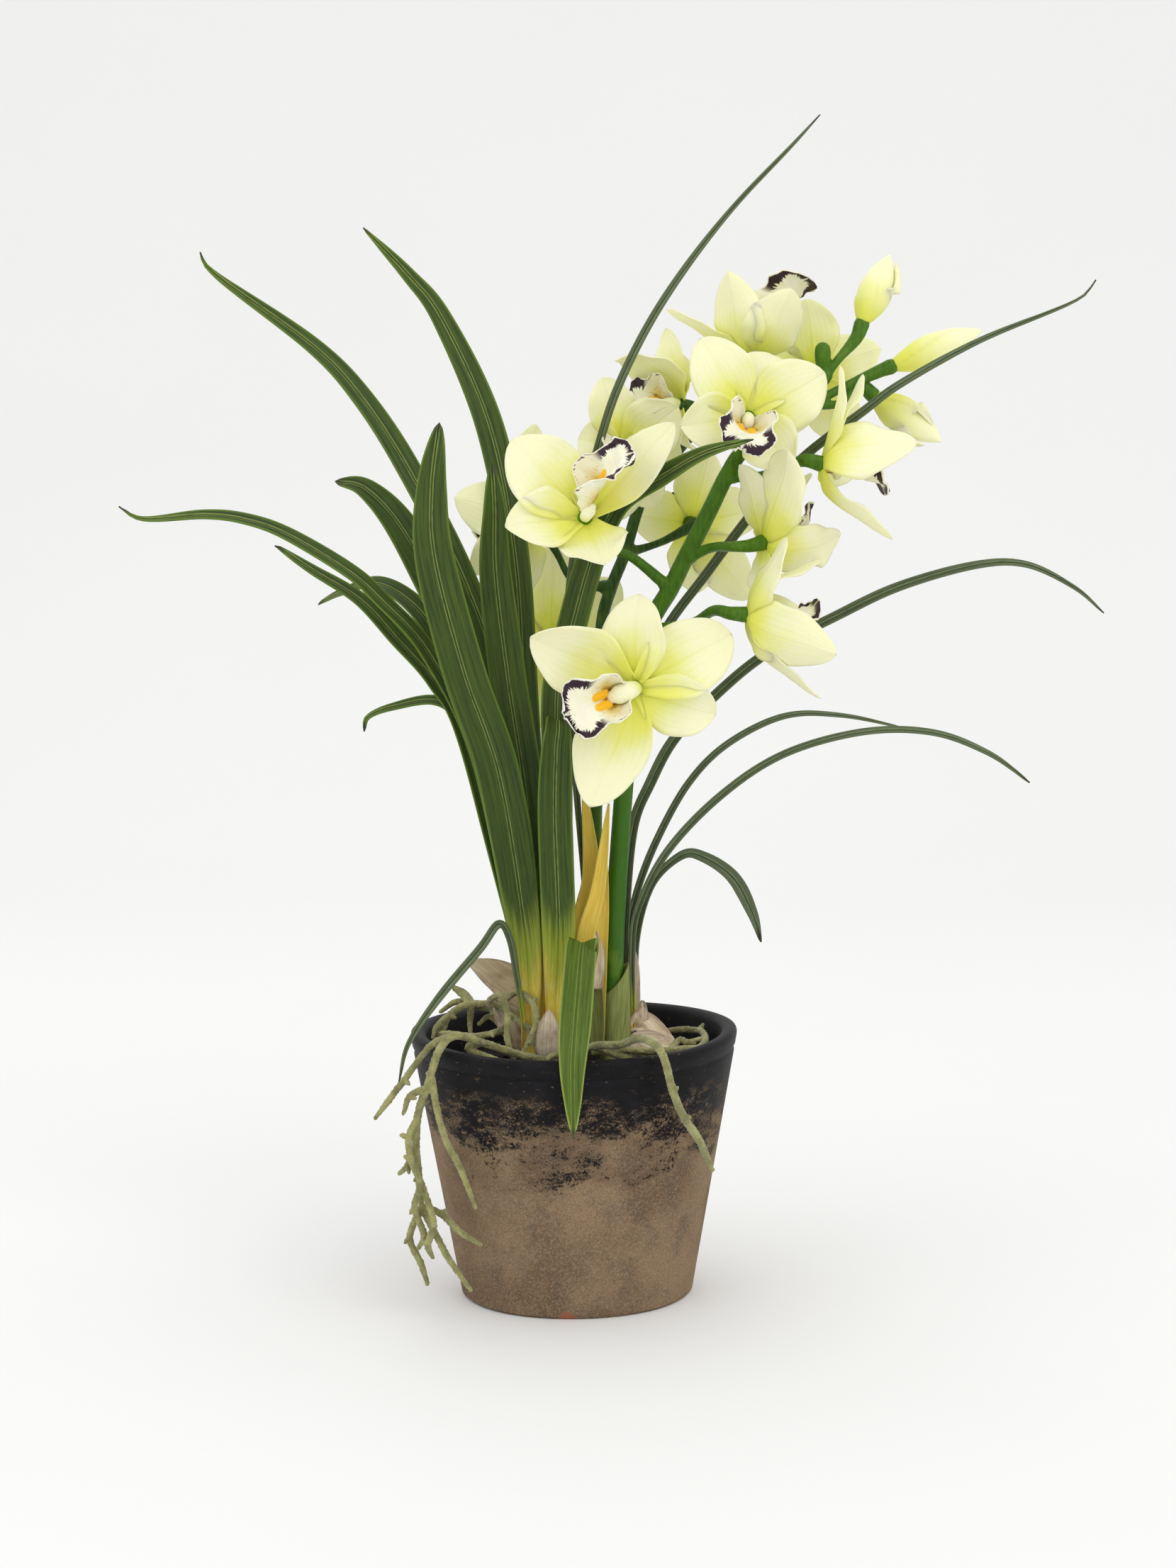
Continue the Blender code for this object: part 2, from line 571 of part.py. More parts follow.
def main():
    for old in list(bpy.data.objects):
        bpy.data.objects.remove(old)
    parts = bpy.data.collections.new("potted_orchid")
    joined = bpy.data.collections.new("branches_to_join")
    for collection in (parts, joined):
        bpy.context.scene.collection.children.link(collection)
    finishes = {
        "pot": material("fired clay", (0.16, 0.13, 0.11), 0.8),
        "mix": material("potting mix", (0.02, 0.017, 0.015), 0.95),
        "leaf": material("leaf green", (0.09, 0.17, 0.045), 0.45),
        "dry": material("dry bract", (0.52, 0.42, 0.3), 0.8),
        "sheath": material("pale sheath", (0.72, 0.6, 0.14), 0.5),
        "sheath_green": material("green sheath", (0.24, 0.27, 0.07), 0.5),
        "stem": material("flower stem", (0.06, 0.2, 0.03), 0.4),
        "root": material("aerial root", (0.25, 0.26, 0.11), 0.95),
        "petal": material("petal", (0.8, 0.85, 0.38), 0.6),
        "lip": material("lip", (0.9, 0.86, 0.7), 0.55),
    }
    make_pot(finishes, parts)
    make_leaves(finishes, parts)
    make_stem_sheath(finishes, parts)
    make_spikes(finishes, parts, joined)
    make_blooms(finishes, parts)
    make_buds(finishes, parts)
    make_roots(finishes, parts, joined)


main()
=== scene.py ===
"""The looks of a potted cymbidium: glazed clay pot, strap leaves, two flower stems, blooms and roots.

Routes and sizes are in millimetres, in the frame of the design, and MM turns them into metres.
"""

import math
import random

import bpy
from mathutils import Matrix, Vector, noise


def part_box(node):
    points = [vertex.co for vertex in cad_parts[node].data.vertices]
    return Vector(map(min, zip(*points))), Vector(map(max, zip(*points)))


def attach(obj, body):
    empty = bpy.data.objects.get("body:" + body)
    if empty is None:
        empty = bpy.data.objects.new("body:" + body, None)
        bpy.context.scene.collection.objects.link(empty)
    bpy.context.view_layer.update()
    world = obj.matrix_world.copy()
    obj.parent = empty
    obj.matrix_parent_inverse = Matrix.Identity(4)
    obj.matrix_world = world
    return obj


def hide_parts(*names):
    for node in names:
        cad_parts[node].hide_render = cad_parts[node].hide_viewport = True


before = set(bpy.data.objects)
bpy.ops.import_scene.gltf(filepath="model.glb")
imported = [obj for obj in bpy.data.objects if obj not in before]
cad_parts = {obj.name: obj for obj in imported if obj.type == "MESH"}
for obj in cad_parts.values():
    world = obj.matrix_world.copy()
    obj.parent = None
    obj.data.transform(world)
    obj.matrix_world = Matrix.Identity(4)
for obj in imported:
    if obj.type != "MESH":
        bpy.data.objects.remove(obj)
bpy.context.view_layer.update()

MM = 0.001
POT_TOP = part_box("pot")[1].z / MM
POT_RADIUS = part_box("pot")[1].x / MM
MIX_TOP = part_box("potting_mix")[1].z / MM
FOOT_RADIUS = 56.4
PLANT_FOOT = MIX_TOP - 2

LEAF_THICKNESS = 0.75
PETAL_THICKNESS = 0.6
LIP_THICKNESS = 0.7
ROOT_RADIUS = 1.9

# name: (width, the way the upper side faces, kind, points from foot to tip)
LEAVES = {
    "leaf_front_left_tall": (20.5, (0, -1, 0), "broad", [
        (-21, -8, 134), (-23, -10, 176), (-34, -18, 253), (-50, -24, 304), (-63, -28, 358),
        (-64, -28, 391), (-60, -26, 422)]),
    "leaf_front_tall": (17.5, (0.1, -1, 0), "broad", [
        (-14, -4, 134), (-15, -5, 176), (-23, -9, 252), (-30, -12, 303), (-35, -14, 351),
        (-35, -14, 381), (-36, -12, 403)]),
    "leaf_front_short": (16.5, (0.1, -1, 0), "broad", [
        (-9, -14, 135), (-7, -20, 177), (-8, -28, 236), (-7, -34, 267), (-6, -36, 276),
        (-6, -32, 281), (-6, -27, 278), (-6, -24, 268)]),
    "leaf_back_left_upright": (14.5, (-0.2, -1, 0.1), "broad", [
        (-14, 3, 133), (-16, 5, 181), (-22, 10, 285), (-26, 18, 360), (-38, 28, 425),
        (-61, 40, 478), (-78, 48, 501), (-101, 58, 526)]),
    "leaf_left_long": (12.5, (0.2, -0.9, 0.4), "broad", [
        (-17, 8, 132), (-22, 10, 181), (-36, 16, 296), (-50, 22, 345), (-77, 28, 401),
        (-101, 32, 439), (-125, 34, 465), (-172, 34, 500), (-179, 32, 511)]),
    "leaf_left_broad": (20, (0.1, -0.9, 0.4), "broad", [
        (-16, 13, 131), (-21, 16, 180), (-37, 26, 281), (-49, 34, 310), (-80, 46, 370),
        (-101, 56, 395), (-118, 64, 400)]),
    "leaf_left_arching": (10, (0.1, -0.7, 0.7), "broad", [
        (-24, -2, 133), (-28, -2, 172), (-43, -4, 259), (-67, -8, 312), (-90, -14, 339),
        (-105, -20, 353), (-132, -30, 370), (-151, -38, 377), (-169, -46, 379),
        (-195, -58, 377), (-205, -62, 383)]),
    "leaf_left_middle": (10, (0.1, -0.7, 0.7), "broad", [
        (-23, 3, 133), (-27, 4, 171), (-50, 7, 268), (-65, 6, 298), (-83, 6, 319),
        (-101, 4, 339), (-124, 0, 354), (-141, -4, 366)]),
    "leaf_back_left_arching": (12, (0, -0.7, 0.7), "broad", [
        (-16, 22, 131), (-22, 26, 173), (-44, 38, 271), (-62, 50, 313), (-78, 60, 336),
        (-98, 72, 348), (-117, 86, 344), (-131, 96, 338)]),
    "leaf_left_low": (7, (0.1, -0.7, 0.7), "broad", [
        (-20, 18, 131), (-25, 20, 170), (-41, 25, 243), (-54, 28, 278), (-67, 30, 289),
        (-89, 32, 286), (-101, 34, 281), (-103, 34, 274)]),
    "leaf_front_arching": (14.5, (-0.3, -1, 0.2), "broad", [
        (-4, -7, 134), (-5, -9, 176), (-6, -17, 245), (-6, -22, 295), (2, -26, 327),
        (12, -30, 360), (24, -34, 383), (45, -48, 395), (63, -67, 404), (84, -77, 409)]),
    "leaf_tall_thin": (3.9, (0.3, -1, 0), "narrow", [
        (9, 27, 133), (7, 26, 179), (0, 18, 285), (0, 8, 340), (7, -2, 381), (16, -10, 415),
        (25, -15, 440), (40, -16, 469), (59, -14, 497), (82, -10, 525), (109, -4, 553),
        (123, 0, 568)]),
    "leaf_right_long": (4.8, (-0.3, -1, 0.5), "narrow", [
        (21, 16, 134), (21, 16, 180), (26, 15, 257), (33, 15, 295), (48, 14, 324), (67, 13, 349),
        (90, 10, 379), (113, 3, 404), (142, -8, 426), (160, -12, 439), (196, -18, 458),
        (239, -26, 475), (249, -28, 485)]),
    "leaf_right_arching": (5.8, (-0.2, -0.8, 0.6), "narrow", [
        (25, 9, 134), (26, 8, 180), (30, 7, 225), (39, 6, 248), (52, 4, 271), (77, 3, 296),
        (100, 3, 313), (129, 0, 328), (159, -6, 342), (195, -14, 352), (218, -20, 352),
        (239, -28, 341), (252, -34, 329)]),
    "leaf_right_low_back": (3.9, (-0.1, -0.7, 0.7), "narrow", [
        (26, 23, 133), (27, 23, 168), (32, 26, 192), (43, 30, 219), (59, 35, 246), (79, 41, 265),
        (108, 50, 278), (137, 58, 278), (176, 70, 270)]),
    "leaf_right_low_front": (4.4, (-0.1, -0.7, 0.7), "narrow", [
        (29, 3, 135), (29, 2, 167), (32, 0, 187), (46, -6, 215), (72, -16, 243), (101, -28, 263),
        (137, -42, 274), (168, -54, 274), (192, -64, 265), (210, -72, 252)]),
    "leaf_right_drooping": (6.5, (-0.2, -0.8, 0.6), "narrow", [
        (31, 14, 134), (31, 14, 169), (39, 13, 197), (54, 10, 212), (65, 8, 211), (79, 6, 201),
        (88, 4, 184), (92, 2, 170)]),
    "leaf_left_drooping": (3.8, (0.5, -0.8, 0.3), "narrow", [
        (-25, -13, 135), (-28, -13, 159), (-31, -15, 176), (-36, -19, 183), (-45, -26, 172),
        (-64, -40, 151), (-78, -52, 131), (-82, -56, 114)]),
    "leaf_front_hanging": (15, (0.1, -1, 0.3), "young", [
        (3, -17, 135), (4, -19, 160), (5, -26, 172), (4, -38, 174), (2, -60, 157), (0, -81, 138),
        (-1, -86, 124), (-1, -86, 108), (-1, -86, 93)]),
}

# name: (slot, CAD node or None, width, facing, crumple, points)
BRACTS = {
    "bract_left_dry": ("bract", "bract_left_dry", 23, (0.25, -0.9, 0.45), 1.5, [
        (-16, 31, 120), (-24, 28, 138), (-37, 24, 150), (-52, 20, 160)]),
    "bract_left_crumpled": ("bract", None, 17, (-0.1, -0.9, 0.5), 2.4, [
        (-16, 6, 117), (-26, 4, 126), (-35, 1, 138), (-40, 0, 145)]),
    "bract_right_dry": ("bract", "bract_right_dry", 12, (0.1, -0.8, 0.6), 3.0, [
        (25, 6, 128), (33, 3, 130), (41, -2, 125), (47, -6, 120), (51, -8, 118)]),
    "bract_right_curled": ("bract", None, 12, (0.5, -0.9, 0.3), 2.4, [
        (24, 7, 118), (29, 4, 128), (33, 1, 137), (34, 0, 142)]),
    "bract_right_low": ("bract", None, 14, (0.3, -0.8, 0.6), 2.8, [
        (26, -3, 117), (35, -6, 121), (43, -8, 120), (50, -12, 117)]),
    "bract_stem_foot": ("bract", None, 9, (0.3, -1, 0.1), 1.2, [
        (27, 8, 118), (28, 8, 140), (29, 8, 160), (28, 8, 172)]),
    "bract_front_small": ("bract", None, 13, (-0.1, -1, 0.2), 0.9, [
        (-11, -21, 116), (-12, -25, 124), (-12, -26, 134), (-12, -24, 142)]),
    "bract_beside_stem": ("bract", None, 8, (0.2, -1, 0.1), 1.2, [
        (10, -12, 150), (11, -13, 160), (11, -13, 170), (9, -12, 182)]),
    "bract_behind_leaves": ("bract", None, 10, (0, -1, 0.1), 1.0, [
        (8, 0, 120), (9, 0, 145), (9, -1, 165), (7, -1, 180)]),
    "sheath_pale": ("sheath", "sheath_pale", 11.5, (0.3, -1, 0), 0.3, [
        (4, 2, 118), (5, 2, 180), (9, 2, 205), (6, 2, 249)]),
    "sheath_yellow": ("sheath", "sheath_yellow", 9, (-0.4, -1, 0), 0.3, [
        (-1, -14, 118), (3, -14, 150), (7, -14, 178), (13, -13, 200), (18, -12, 240)]),
    "sheath_bright": ("sheath", None, 6.5, (0, -1, 0), 0.3, [
        (12, -6, 119), (13, -6, 160), (15, -7, 190), (16, -7, 225)]),
    "sheath_column_green": ("sheath", None, 8, (-0.3, -1, 0), 0.4, [
        (11, -9, 117), (11, -9, 135), (11, -9, 155), (12, -8, 174)]),
}

# Stems: main route (x, y, z, radius), then stalks (point it leaves from, points, bloom number or bud).
SPIKES = {
    "spike_front": (
        [(20, -2, 117, 4.8), (20, -2, 169, 4.8), (25, -2, 240, 4.6), (30, -2, 285, 4.4),
         (38, -4, 323, 4.3), (49, -5, 343, 4.3), (56, -6, 357, 4.2), (68, -8, 380, 4.0),
         (76, -8, 396, 3.9), (85, -8, 409, 3.6), (104, -8, 420, 3.3), (117, -6, 430, 3.2),
         (122, -5, 441, 3.0), (123, -5, 455, 3.4)],
        [(4, [(38, -18, 318, 2.4)], 1),
         (5, [(29, -9, 359, 2.3), (14, -14, 362, 2.2), (3, -30, 368, 2.2)], 2),
         (9, [(88, -14, 416, 2.2)], 3),
         (10, [(100, 0, 434, 2.2)], 4),
         (8, [(92, -14, 396, 2.2), (104, -27, 400, 2.2)], 5),
         (4, [(58, -14, 326, 2.4), (68, -32, 332, 2.6)], 6),
         (6, [(68, -15, 362, 2.4), (78, -34, 362, 2.6)], 7),
         (12, [(122, 8, 445, 2.0)], 13),
         (12, [(130, -4, 451, 2.1)], "bud_upper"),
         (11, [(130, 1, 437, 2.2)], "bud_right"),
         (11, [(132, 0, 431, 2.0)], "bud_half_open")]),
    "spike_back": (
        [(12, 18, 117, 3.4), (11, 20, 186, 3.4), (12, 23, 232, 3.3), (14, 25, 284, 3.2),
         (16, 27, 325, 3.1), (21, 29, 344, 3.1), (28, 31, 361, 3.0), (36, 34, 386, 2.9),
         (46, 38, 401, 2.8), (58, 42, 415, 2.7), (68, 42, 427, 2.6)],
        [(9, [(62, 32, 424, 1.9)], 8),
         (7, [(36, 26, 399, 1.9)], 9),
         (6, [(45, 34, 366, 1.9)], 10),
         (3, [(4, 28, 300, 1.9)], 11),
         (5, [(3, 26, 347, 1.9), (-6, 24, 362, 1.9)], 12)]),
}
STALK_END_RADIUS = 3.4

# Blooms: centre, the way it faces, five tepals (tip from the centre, width, twist in degrees, cup),
# and the lip's tip from the centre.
BLOOMS = [
    ((30, -55, 297), (-0.4, -1, -0.15),
     [((-47, -8, 22), 33), ((1, -5, 43), 30), ((47, 5, 25), 33),
      ((38, 0, -14), 28, 0.25), ((-22, -12, -52), 34)],
     (-31, -24, -11)),
    ((8, -46, 376), (0.1, -1, 0.15),
     [((-33, -4, 36), 34, 0.15), ((-36, -10, -3), 26, 0.5, 10), ((8, -24, -20), 30),
      ((40, -12, 41), 22, 0.3), ((3, 24, 22), 22)],
     (19, -23, 30)),
    ((85, -32, 422), (0, -1, -0.1),
     [((-22, -4, 37), 28, 0.15), ((13, 10, 32), 26), ((36, -4, 20), 31),
      ((19, -8, -22), 26, 0.3), ((-31, -8, -4), 26, 0.3)],
     (-4, -30, -13)),
    ((91, 2, 454), (0.2, 0.2, 1),
     [((-11, -12, 39), 28, 0.25), ((15, -20, 30), 28, 0.25), ((-39, 8, 26), 20),
      ((9, 26, 32), 22), ((22, 14, 26), 22)],
     (23, -3, 39)),
    ((119, -36, 400), (0.9, 0.1, -0.2),
     [((42, -16, 6), 30), ((12, -4, 44), 18, 0.3), ((24, 14, 40), 20, 0.3),
      ((34, 0, -32), 18, 0.3), ((30, 36, 4), 26)],
     (32, 4, -10)),
    ((83, -42, 330), (0.95, 0.1, -0.1),
     [((20, -18, 33), 27), ((36, 4, 22), 22), ((40, -20, -17), 30),
      ((36, 4, -36), 20), ((34, 26, -4), 22)],
     (34, 2, 2)),
    ((92, -28, 364), (0.8, 0.5, 0.2),
     [((13, -26, 41), 30), ((-8, 4, 37), 22), ((-5, 4, -22), 14),
      ((26, 22, 30), 24), ((40, 12, 2), 24)],
     (26, 20, 8)),
    ((56, 16, 432), (-0.8, -0.4, 0.2),
     [((-32, -12, 24), 28), ((-9, 4, 37), 28), ((14, 18, 20), 22),
      ((10, 12, -24), 20), ((-6, -4, -33), 22)],
     (-26, -2, 0)),
    ((27, 6, 411), (0.1, -1, -0.1),
     [((-9, -4, 34), 22), ((26, -10, 18), 28), ((-22, 2, 5), 22),
      ((-7, 2, -36), 26), ((16, 2, -28), 22)],
     (3, -22, -10)),
    ((61, 46, 376), (-0.1, 1, 0.2),
     [((-28, 4, 5), 26), ((10, 4, 36), 24), ((37, 6, 8), 26),
      ((4, 8, -34), 24), ((30, 6, -38), 24)],
     (-3, 28, 14)),
    ((-9, 50, 317), (0.1, 1, 0),
     [((2, -4, 50), 28), ((35, -2, 30), 28), ((-38, 6, 8), 26),
      ((-14, 6, -45), 26), ((31, 6, -30), 26)],
     (2, 26, -8)),
    ((-20, 32, 378), (-0.5, 0.7, 0.1),
     [((-35, -2, 11), 27), ((2, 0, 47), 22), ((32, 8, 14), 24),
      ((-5, 6, -39), 26), ((-28, 8, -24), 24)],
     (-22, 18, -8)),
    ((123, 36, 449), (0.2, 1, 0.2),
     [((-4, -6, 36), 26), ((32, 4, 12), 24), ((-34, 6, 10), 22),
      ((16, 6, -33), 26), ((-22, 8, -30), 24)],
     (4, 26, -6)),
]

# Blooms whose lip opens another way than their tepals.
TURNED_LIPS = {2: (-0.75, -0.45, 0.5)}

# Buds: foot, tip, greatest width, and the free tepals that stand off it (tip, width).
BUDS = {
    "bud_upper": ((142.5, 0, 469), (156, 2, 501), 18, [((161, 0, 498), 9)]),
    "bud_right": ((157.5, 6, 449), (201, 10, 466), 17, []),
    "bud_half_open": ((149, 7.5, 435), (181, 8, 413), 19, [((178, 4, 421), 10), ((172, 4, 409), 9)]),
}

# Roots: a route, then twigs (point they leave from, points).
ROOTS = {
    "root_left_hanging": (
        [(-14, -32, 119), (-26, -38, 123), (-43, -44, 130), (-56, -50, 134.6), (-63, -55, 129),
         (-67, -60, 118), (-69, -60, 112), (-72, -56, 104), (-74, -54, 96), (-75, -52, 82), (-74, -50, 67),
         (-73, -48, 53)],
        [(3, [(-67, -47, 130), (-80, -49, 114), (-87, -50, 105), (-94, -50, 96)]),
         (5, [(-64, -60, 100), (-60, -63, 87), (-54, -63, 75), (-47, -63, 56)]),
         (11, [(-79, -46, 38), (-74, -45, 25), (-71, -45, 15)]),
         (11, [(-64, -50, 50), (-55, -56, 43), (-45, -58, 37)]),
         (11, [(-66, -52, 40), (-60, -57, 30), (-50, -60, 16)]),
         (8, [(-78, -57, 88), (-77, -59, 78), (-73, -57, 66), (-76, -54, 54), (-72, -50, 40),
              (-75, -48, 33)]),
         (9, [(-79, -54, 74), (-83, -52, 70)]),
         (10, [(-70, -55, 58), (-67, -57, 47), (-70, -54, 36), (-68, -53, 30)]),
         (6, [(-77, -60, 108), (-80, -60, 100)]),
         (2, [(-51, -40, 127), (-39, -47, 123), (-29, -50, 119)])]),
    "root_left_loops": (
        [(-66, 0, 125), (-61, 1, 136), (-50, 5, 141), (-39, 5, 138), (-34, 1, 129), (-31, -4, 119)],
        [(2, [(-59, 9, 148)]),
         (3, [(-50, 12, 139), (-58, 12, 141), (-66, 12, 136)]),
         (3, [(-41, -5, 144), (-35, -16, 148), (-32, -20, 140), (-32, -26, 128), (-29, -27, 119)]),
         (1, [(-67, -3, 131), (-69, -5, 126)]),
         (2, [(-38, 0, 141), (-31, -6, 137), (-22, -14, 131), (-18, -18, 120)]),
         (2, [(-54, 14, 145), (-60, 17, 148)]),
         (3, [(-28, -6, 148), (-20, -16, 144), (-18, -23, 136), (-21, -28, 129), (-25, -32, 122)]),
         (4, [(-40, -12, 129), (-49, -14, 128), (-59, -12, 129), (-65, -9, 129)]),
         (2, [(-51, 6, 134), (-51, 4, 126)]),
         (4, [(-41, 9, 134), (-47, 10, 130)])]),
    "root_right": (
        [(-4, -24, 119), (9, -40, 127), (21, -54, 130), (31, -67, 135), (40, -77, 130), (45, -76, 112),
         (50, -70, 99), (58, -61, 85), (64, -54, 70)],
        [(1, [(24, -34, 124), (44, -32, 123), (58, -28, 123), (63, -14, 124), (64, 4, 124), (62, 18, 124),
              (52, 27, 123), (38, 28, 121)]),
         (1, [(25, -32, 122), (39, -31, 122), (52, -27, 123), (62, -24, 123)]),
         (1, [(30, -30, 118), (44, -18, 119), (51, -8, 124), (55, -10, 123), (63, -4, 124)]),
         (0, [(-9, -27, 121), (-16, -33, 118)])]),
}


# ---- finishes

class Channel:
    """A shader value that can be added, multiplied and compared like a number."""

    def __init__(self, finish, socket):
        self.finish = finish
        self.socket = socket

    def sum(self, operation, first, second=0.0):
        return self.finish.node("Math", {"operation": operation}, {0: first, 1: second})

    def __add__(self, other):
        return self.sum("ADD", self, other)

    def __sub__(self, other):
        return self.sum("SUBTRACT", self, other)

    def __mul__(self, other):
        return self.sum("MULTIPLY", self, other)

    def __rsub__(self, other):
        return self.sum("SUBTRACT", other, self)

    __radd__ = __add__
    __rmul__ = __mul__

    def size(self):
        return self.sum("ABSOLUTE", self)

    def sine(self):
        return self.sum("SINE", self)

    def rise(self, start, stop):
        """0 before start, 1 after stop, and smooth between them. start may be the larger."""
        low, high, first, last = (start, stop, 0.0, 1.0) if start < stop else (stop, start, 1.0, 0.0)
        return self.finish.node("MapRange", {"interpolation_type": "SMOOTHSTEP"}, {
            "Value": self, "From Min": low, "From Max": high, "To Min": first, "To Max": last})


class Finish:
    """One material. Its nodes are made by calls, and its settings are the shader's own sockets."""

    def __init__(self, name, **settings):
        self.material = bpy.data.materials.new(name)
        self.material.use_nodes = True
        self.tree = self.material.node_tree
        self.shader = self.tree.nodes["Principled BSDF"]
        for socket, value in settings.items():
            self.shader.inputs[socket.replace("_", " ")].default_value = value

    def plug(self, socket, value):
        if isinstance(value, Channel):
            self.tree.links.new(value.socket, socket)
        else:
            socket.default_value = value

    def node(self, kind, settings, inputs, output=0):
        made = self.tree.nodes.new("ShaderNode" + kind)
        for setting, value in settings.items():
            setattr(made, setting, value)
        for socket, value in inputs.items():
            self.plug(made.inputs[socket], value)
        return Channel(self, made.outputs[output])

    def place(self):
        return self.node("TexCoord", {}, {}, "Object")

    def height(self):
        return self.node("SeparateXYZ", {}, {0: self.place()}, "Z")

    def mark(self, name):
        return self.node("Attribute", {"attribute_name": name}, {}, "Fac")

    def marks(self, *names):
        return [self.mark(name) for name in names]

    def cloud(self, size, detail=3.0, stretch=(1, 1, 1), rough=0.5):
        """Noise whose blots are about size millimetres across, drawn out by stretch."""
        spot = self.node("Mapping", {"vector_type": "TEXTURE"}, {"Vector": self.place(), "Scale": stretch})
        return self.node("TexNoise", {}, {
            "Vector": spot, "Scale": 1 / (size * MM), "Detail": detail, "Roughness": rough})

    def streaks(self, across, along, size, reach):
        """Noise drawn out along a piece, from its two marks."""
        spot = self.node("CombineXYZ", {}, {0: across * (1 / size), 1: along * (1 / reach), 2: 0.0})
        return self.node("TexNoise", {}, {"Vector": spot, "Scale": 1.0, "Detail": 3.0})

    def blend(self, share, first, second):
        colours = [value if isinstance(value, Channel) else (*value, 1.0) for value in (first, second)]
        return self.node("Mix", {"data_type": "RGBA"}, {0: share, 6: colours[0], 7: colours[1]}, 2)

    def colour(self, value):
        self.plug(self.shader.inputs["Base Color"], value)

    def roughness(self, value):
        self.plug(self.shader.inputs["Roughness"], value)

    def bump(self, height, depth, strength=1.0):
        """Raises the surface by height times depth, in millimetres."""
        normal = self.node("Bump", {}, {"Strength": strength, "Distance": depth * MM, "Height": height})
        self.plug(self.shader.inputs["Normal"], normal)


def clay_finish():
    """Rough stone-coloured clay below, worn black glaze above with a ragged lower edge."""
    clay = Finish("worn_black_glaze_on_clay", Specular_IOR_Level=0.15)
    height = clay.height()
    broad = clay.cloud(28, 4, (1, 1, 0.6))
    patchy = clay.cloud(9, 6, (1.6, 1.6, 0.8), 0.62)
    grain = clay.cloud(1.1, 3, rough=0.7)
    fine = clay.cloud(0.55, 2, rough=0.6)
    edge = height + (broad - 0.5) * 0.085 + (patchy - 0.5) * 0.06 + (grain - 0.5) * 0.085
    worn = clay.cloud(13, 5, (1, 1, 0.55), rough=0.75).rise(0.49, 0.6)
    worn = worn * height.rise(0.113, 0.1) * (grain * 0.6 + fine * 0.6).rise(0.5, 0.66)
    glaze = edge.rise(0.078, 0.09) * (1 - worn * 0.85)
    scuffs = clay.cloud(3.4, 6, (2.4, 2.4, 0.7), 0.7).rise(0.61, 0.68) * height.rise(0.127, 0.11)
    chips = clay.cloud(1.5, 2, (1.5, 1.5, 0.8)).rise(0.7, 0.75)
    glaze = glaze * (1 - scuffs * 0.75) * (1 - chips * 0.7)
    stone = clay.blend(clay.cloud(36, 3).rise(0.35, 0.65), (0.15, 0.1, 0.06), (0.26, 0.178, 0.105))
    stone = clay.blend(clay.cloud(14, 4).rise(0.5, 0.72) * 0.5, stone, (0.085, 0.072, 0.062))
    stone = clay.blend(grain.rise(0.42, 0.68) * 0.55, stone, (0.37, 0.265, 0.16))
    stone = clay.blend(fine.rise(0.48, 0.3) * 0.6, stone, (0.055, 0.042, 0.032))
    black = clay.blend(patchy.rise(0.35, 0.7), (0.0025, 0.0022, 0.003), (0.007, 0.006, 0.008))
    from_chip = clay.node("VectorMath", {"operation": "DISTANCE"}, {
        0: clay.place(), 1: (-0.005, -0.056, 0.0)}, "Value")
    red = (from_chip + (patchy - 0.5) * 0.008 + (grain - 0.5) * 0.006).rise(0.0045, 0.003)
    stone = clay.blend(red * 0.6, stone, (0.4, 0.12, 0.07))
    clay.colour(clay.blend(glaze, stone, black))
    clay.roughness(0.86 - glaze * 0.36 + grain * 0.08)
    clay.bump(grain * (1 - glaze * 0.75) + fine * 0.5 * (1 - glaze * 0.6) - glaze * 0.25, 0.55, 0.8)
    return clay.material


def mix_finish():
    soil = Finish("dark_potting_mix", Roughness=0.95, Specular_IOR_Level=0.25)
    crumbs = soil.cloud(2.2, 5, rough=0.65)
    colour = soil.blend(crumbs.rise(0.4, 0.7), (0.006, 0.0048, 0.0045), (0.028, 0.019, 0.015))
    soil.colour(soil.blend(soil.cloud(1.6, 2).rise(0.68, 0.74), colour, (0.12, 0.06, 0.035)))
    soil.bump(crumbs, 1.2)
    return soil.material


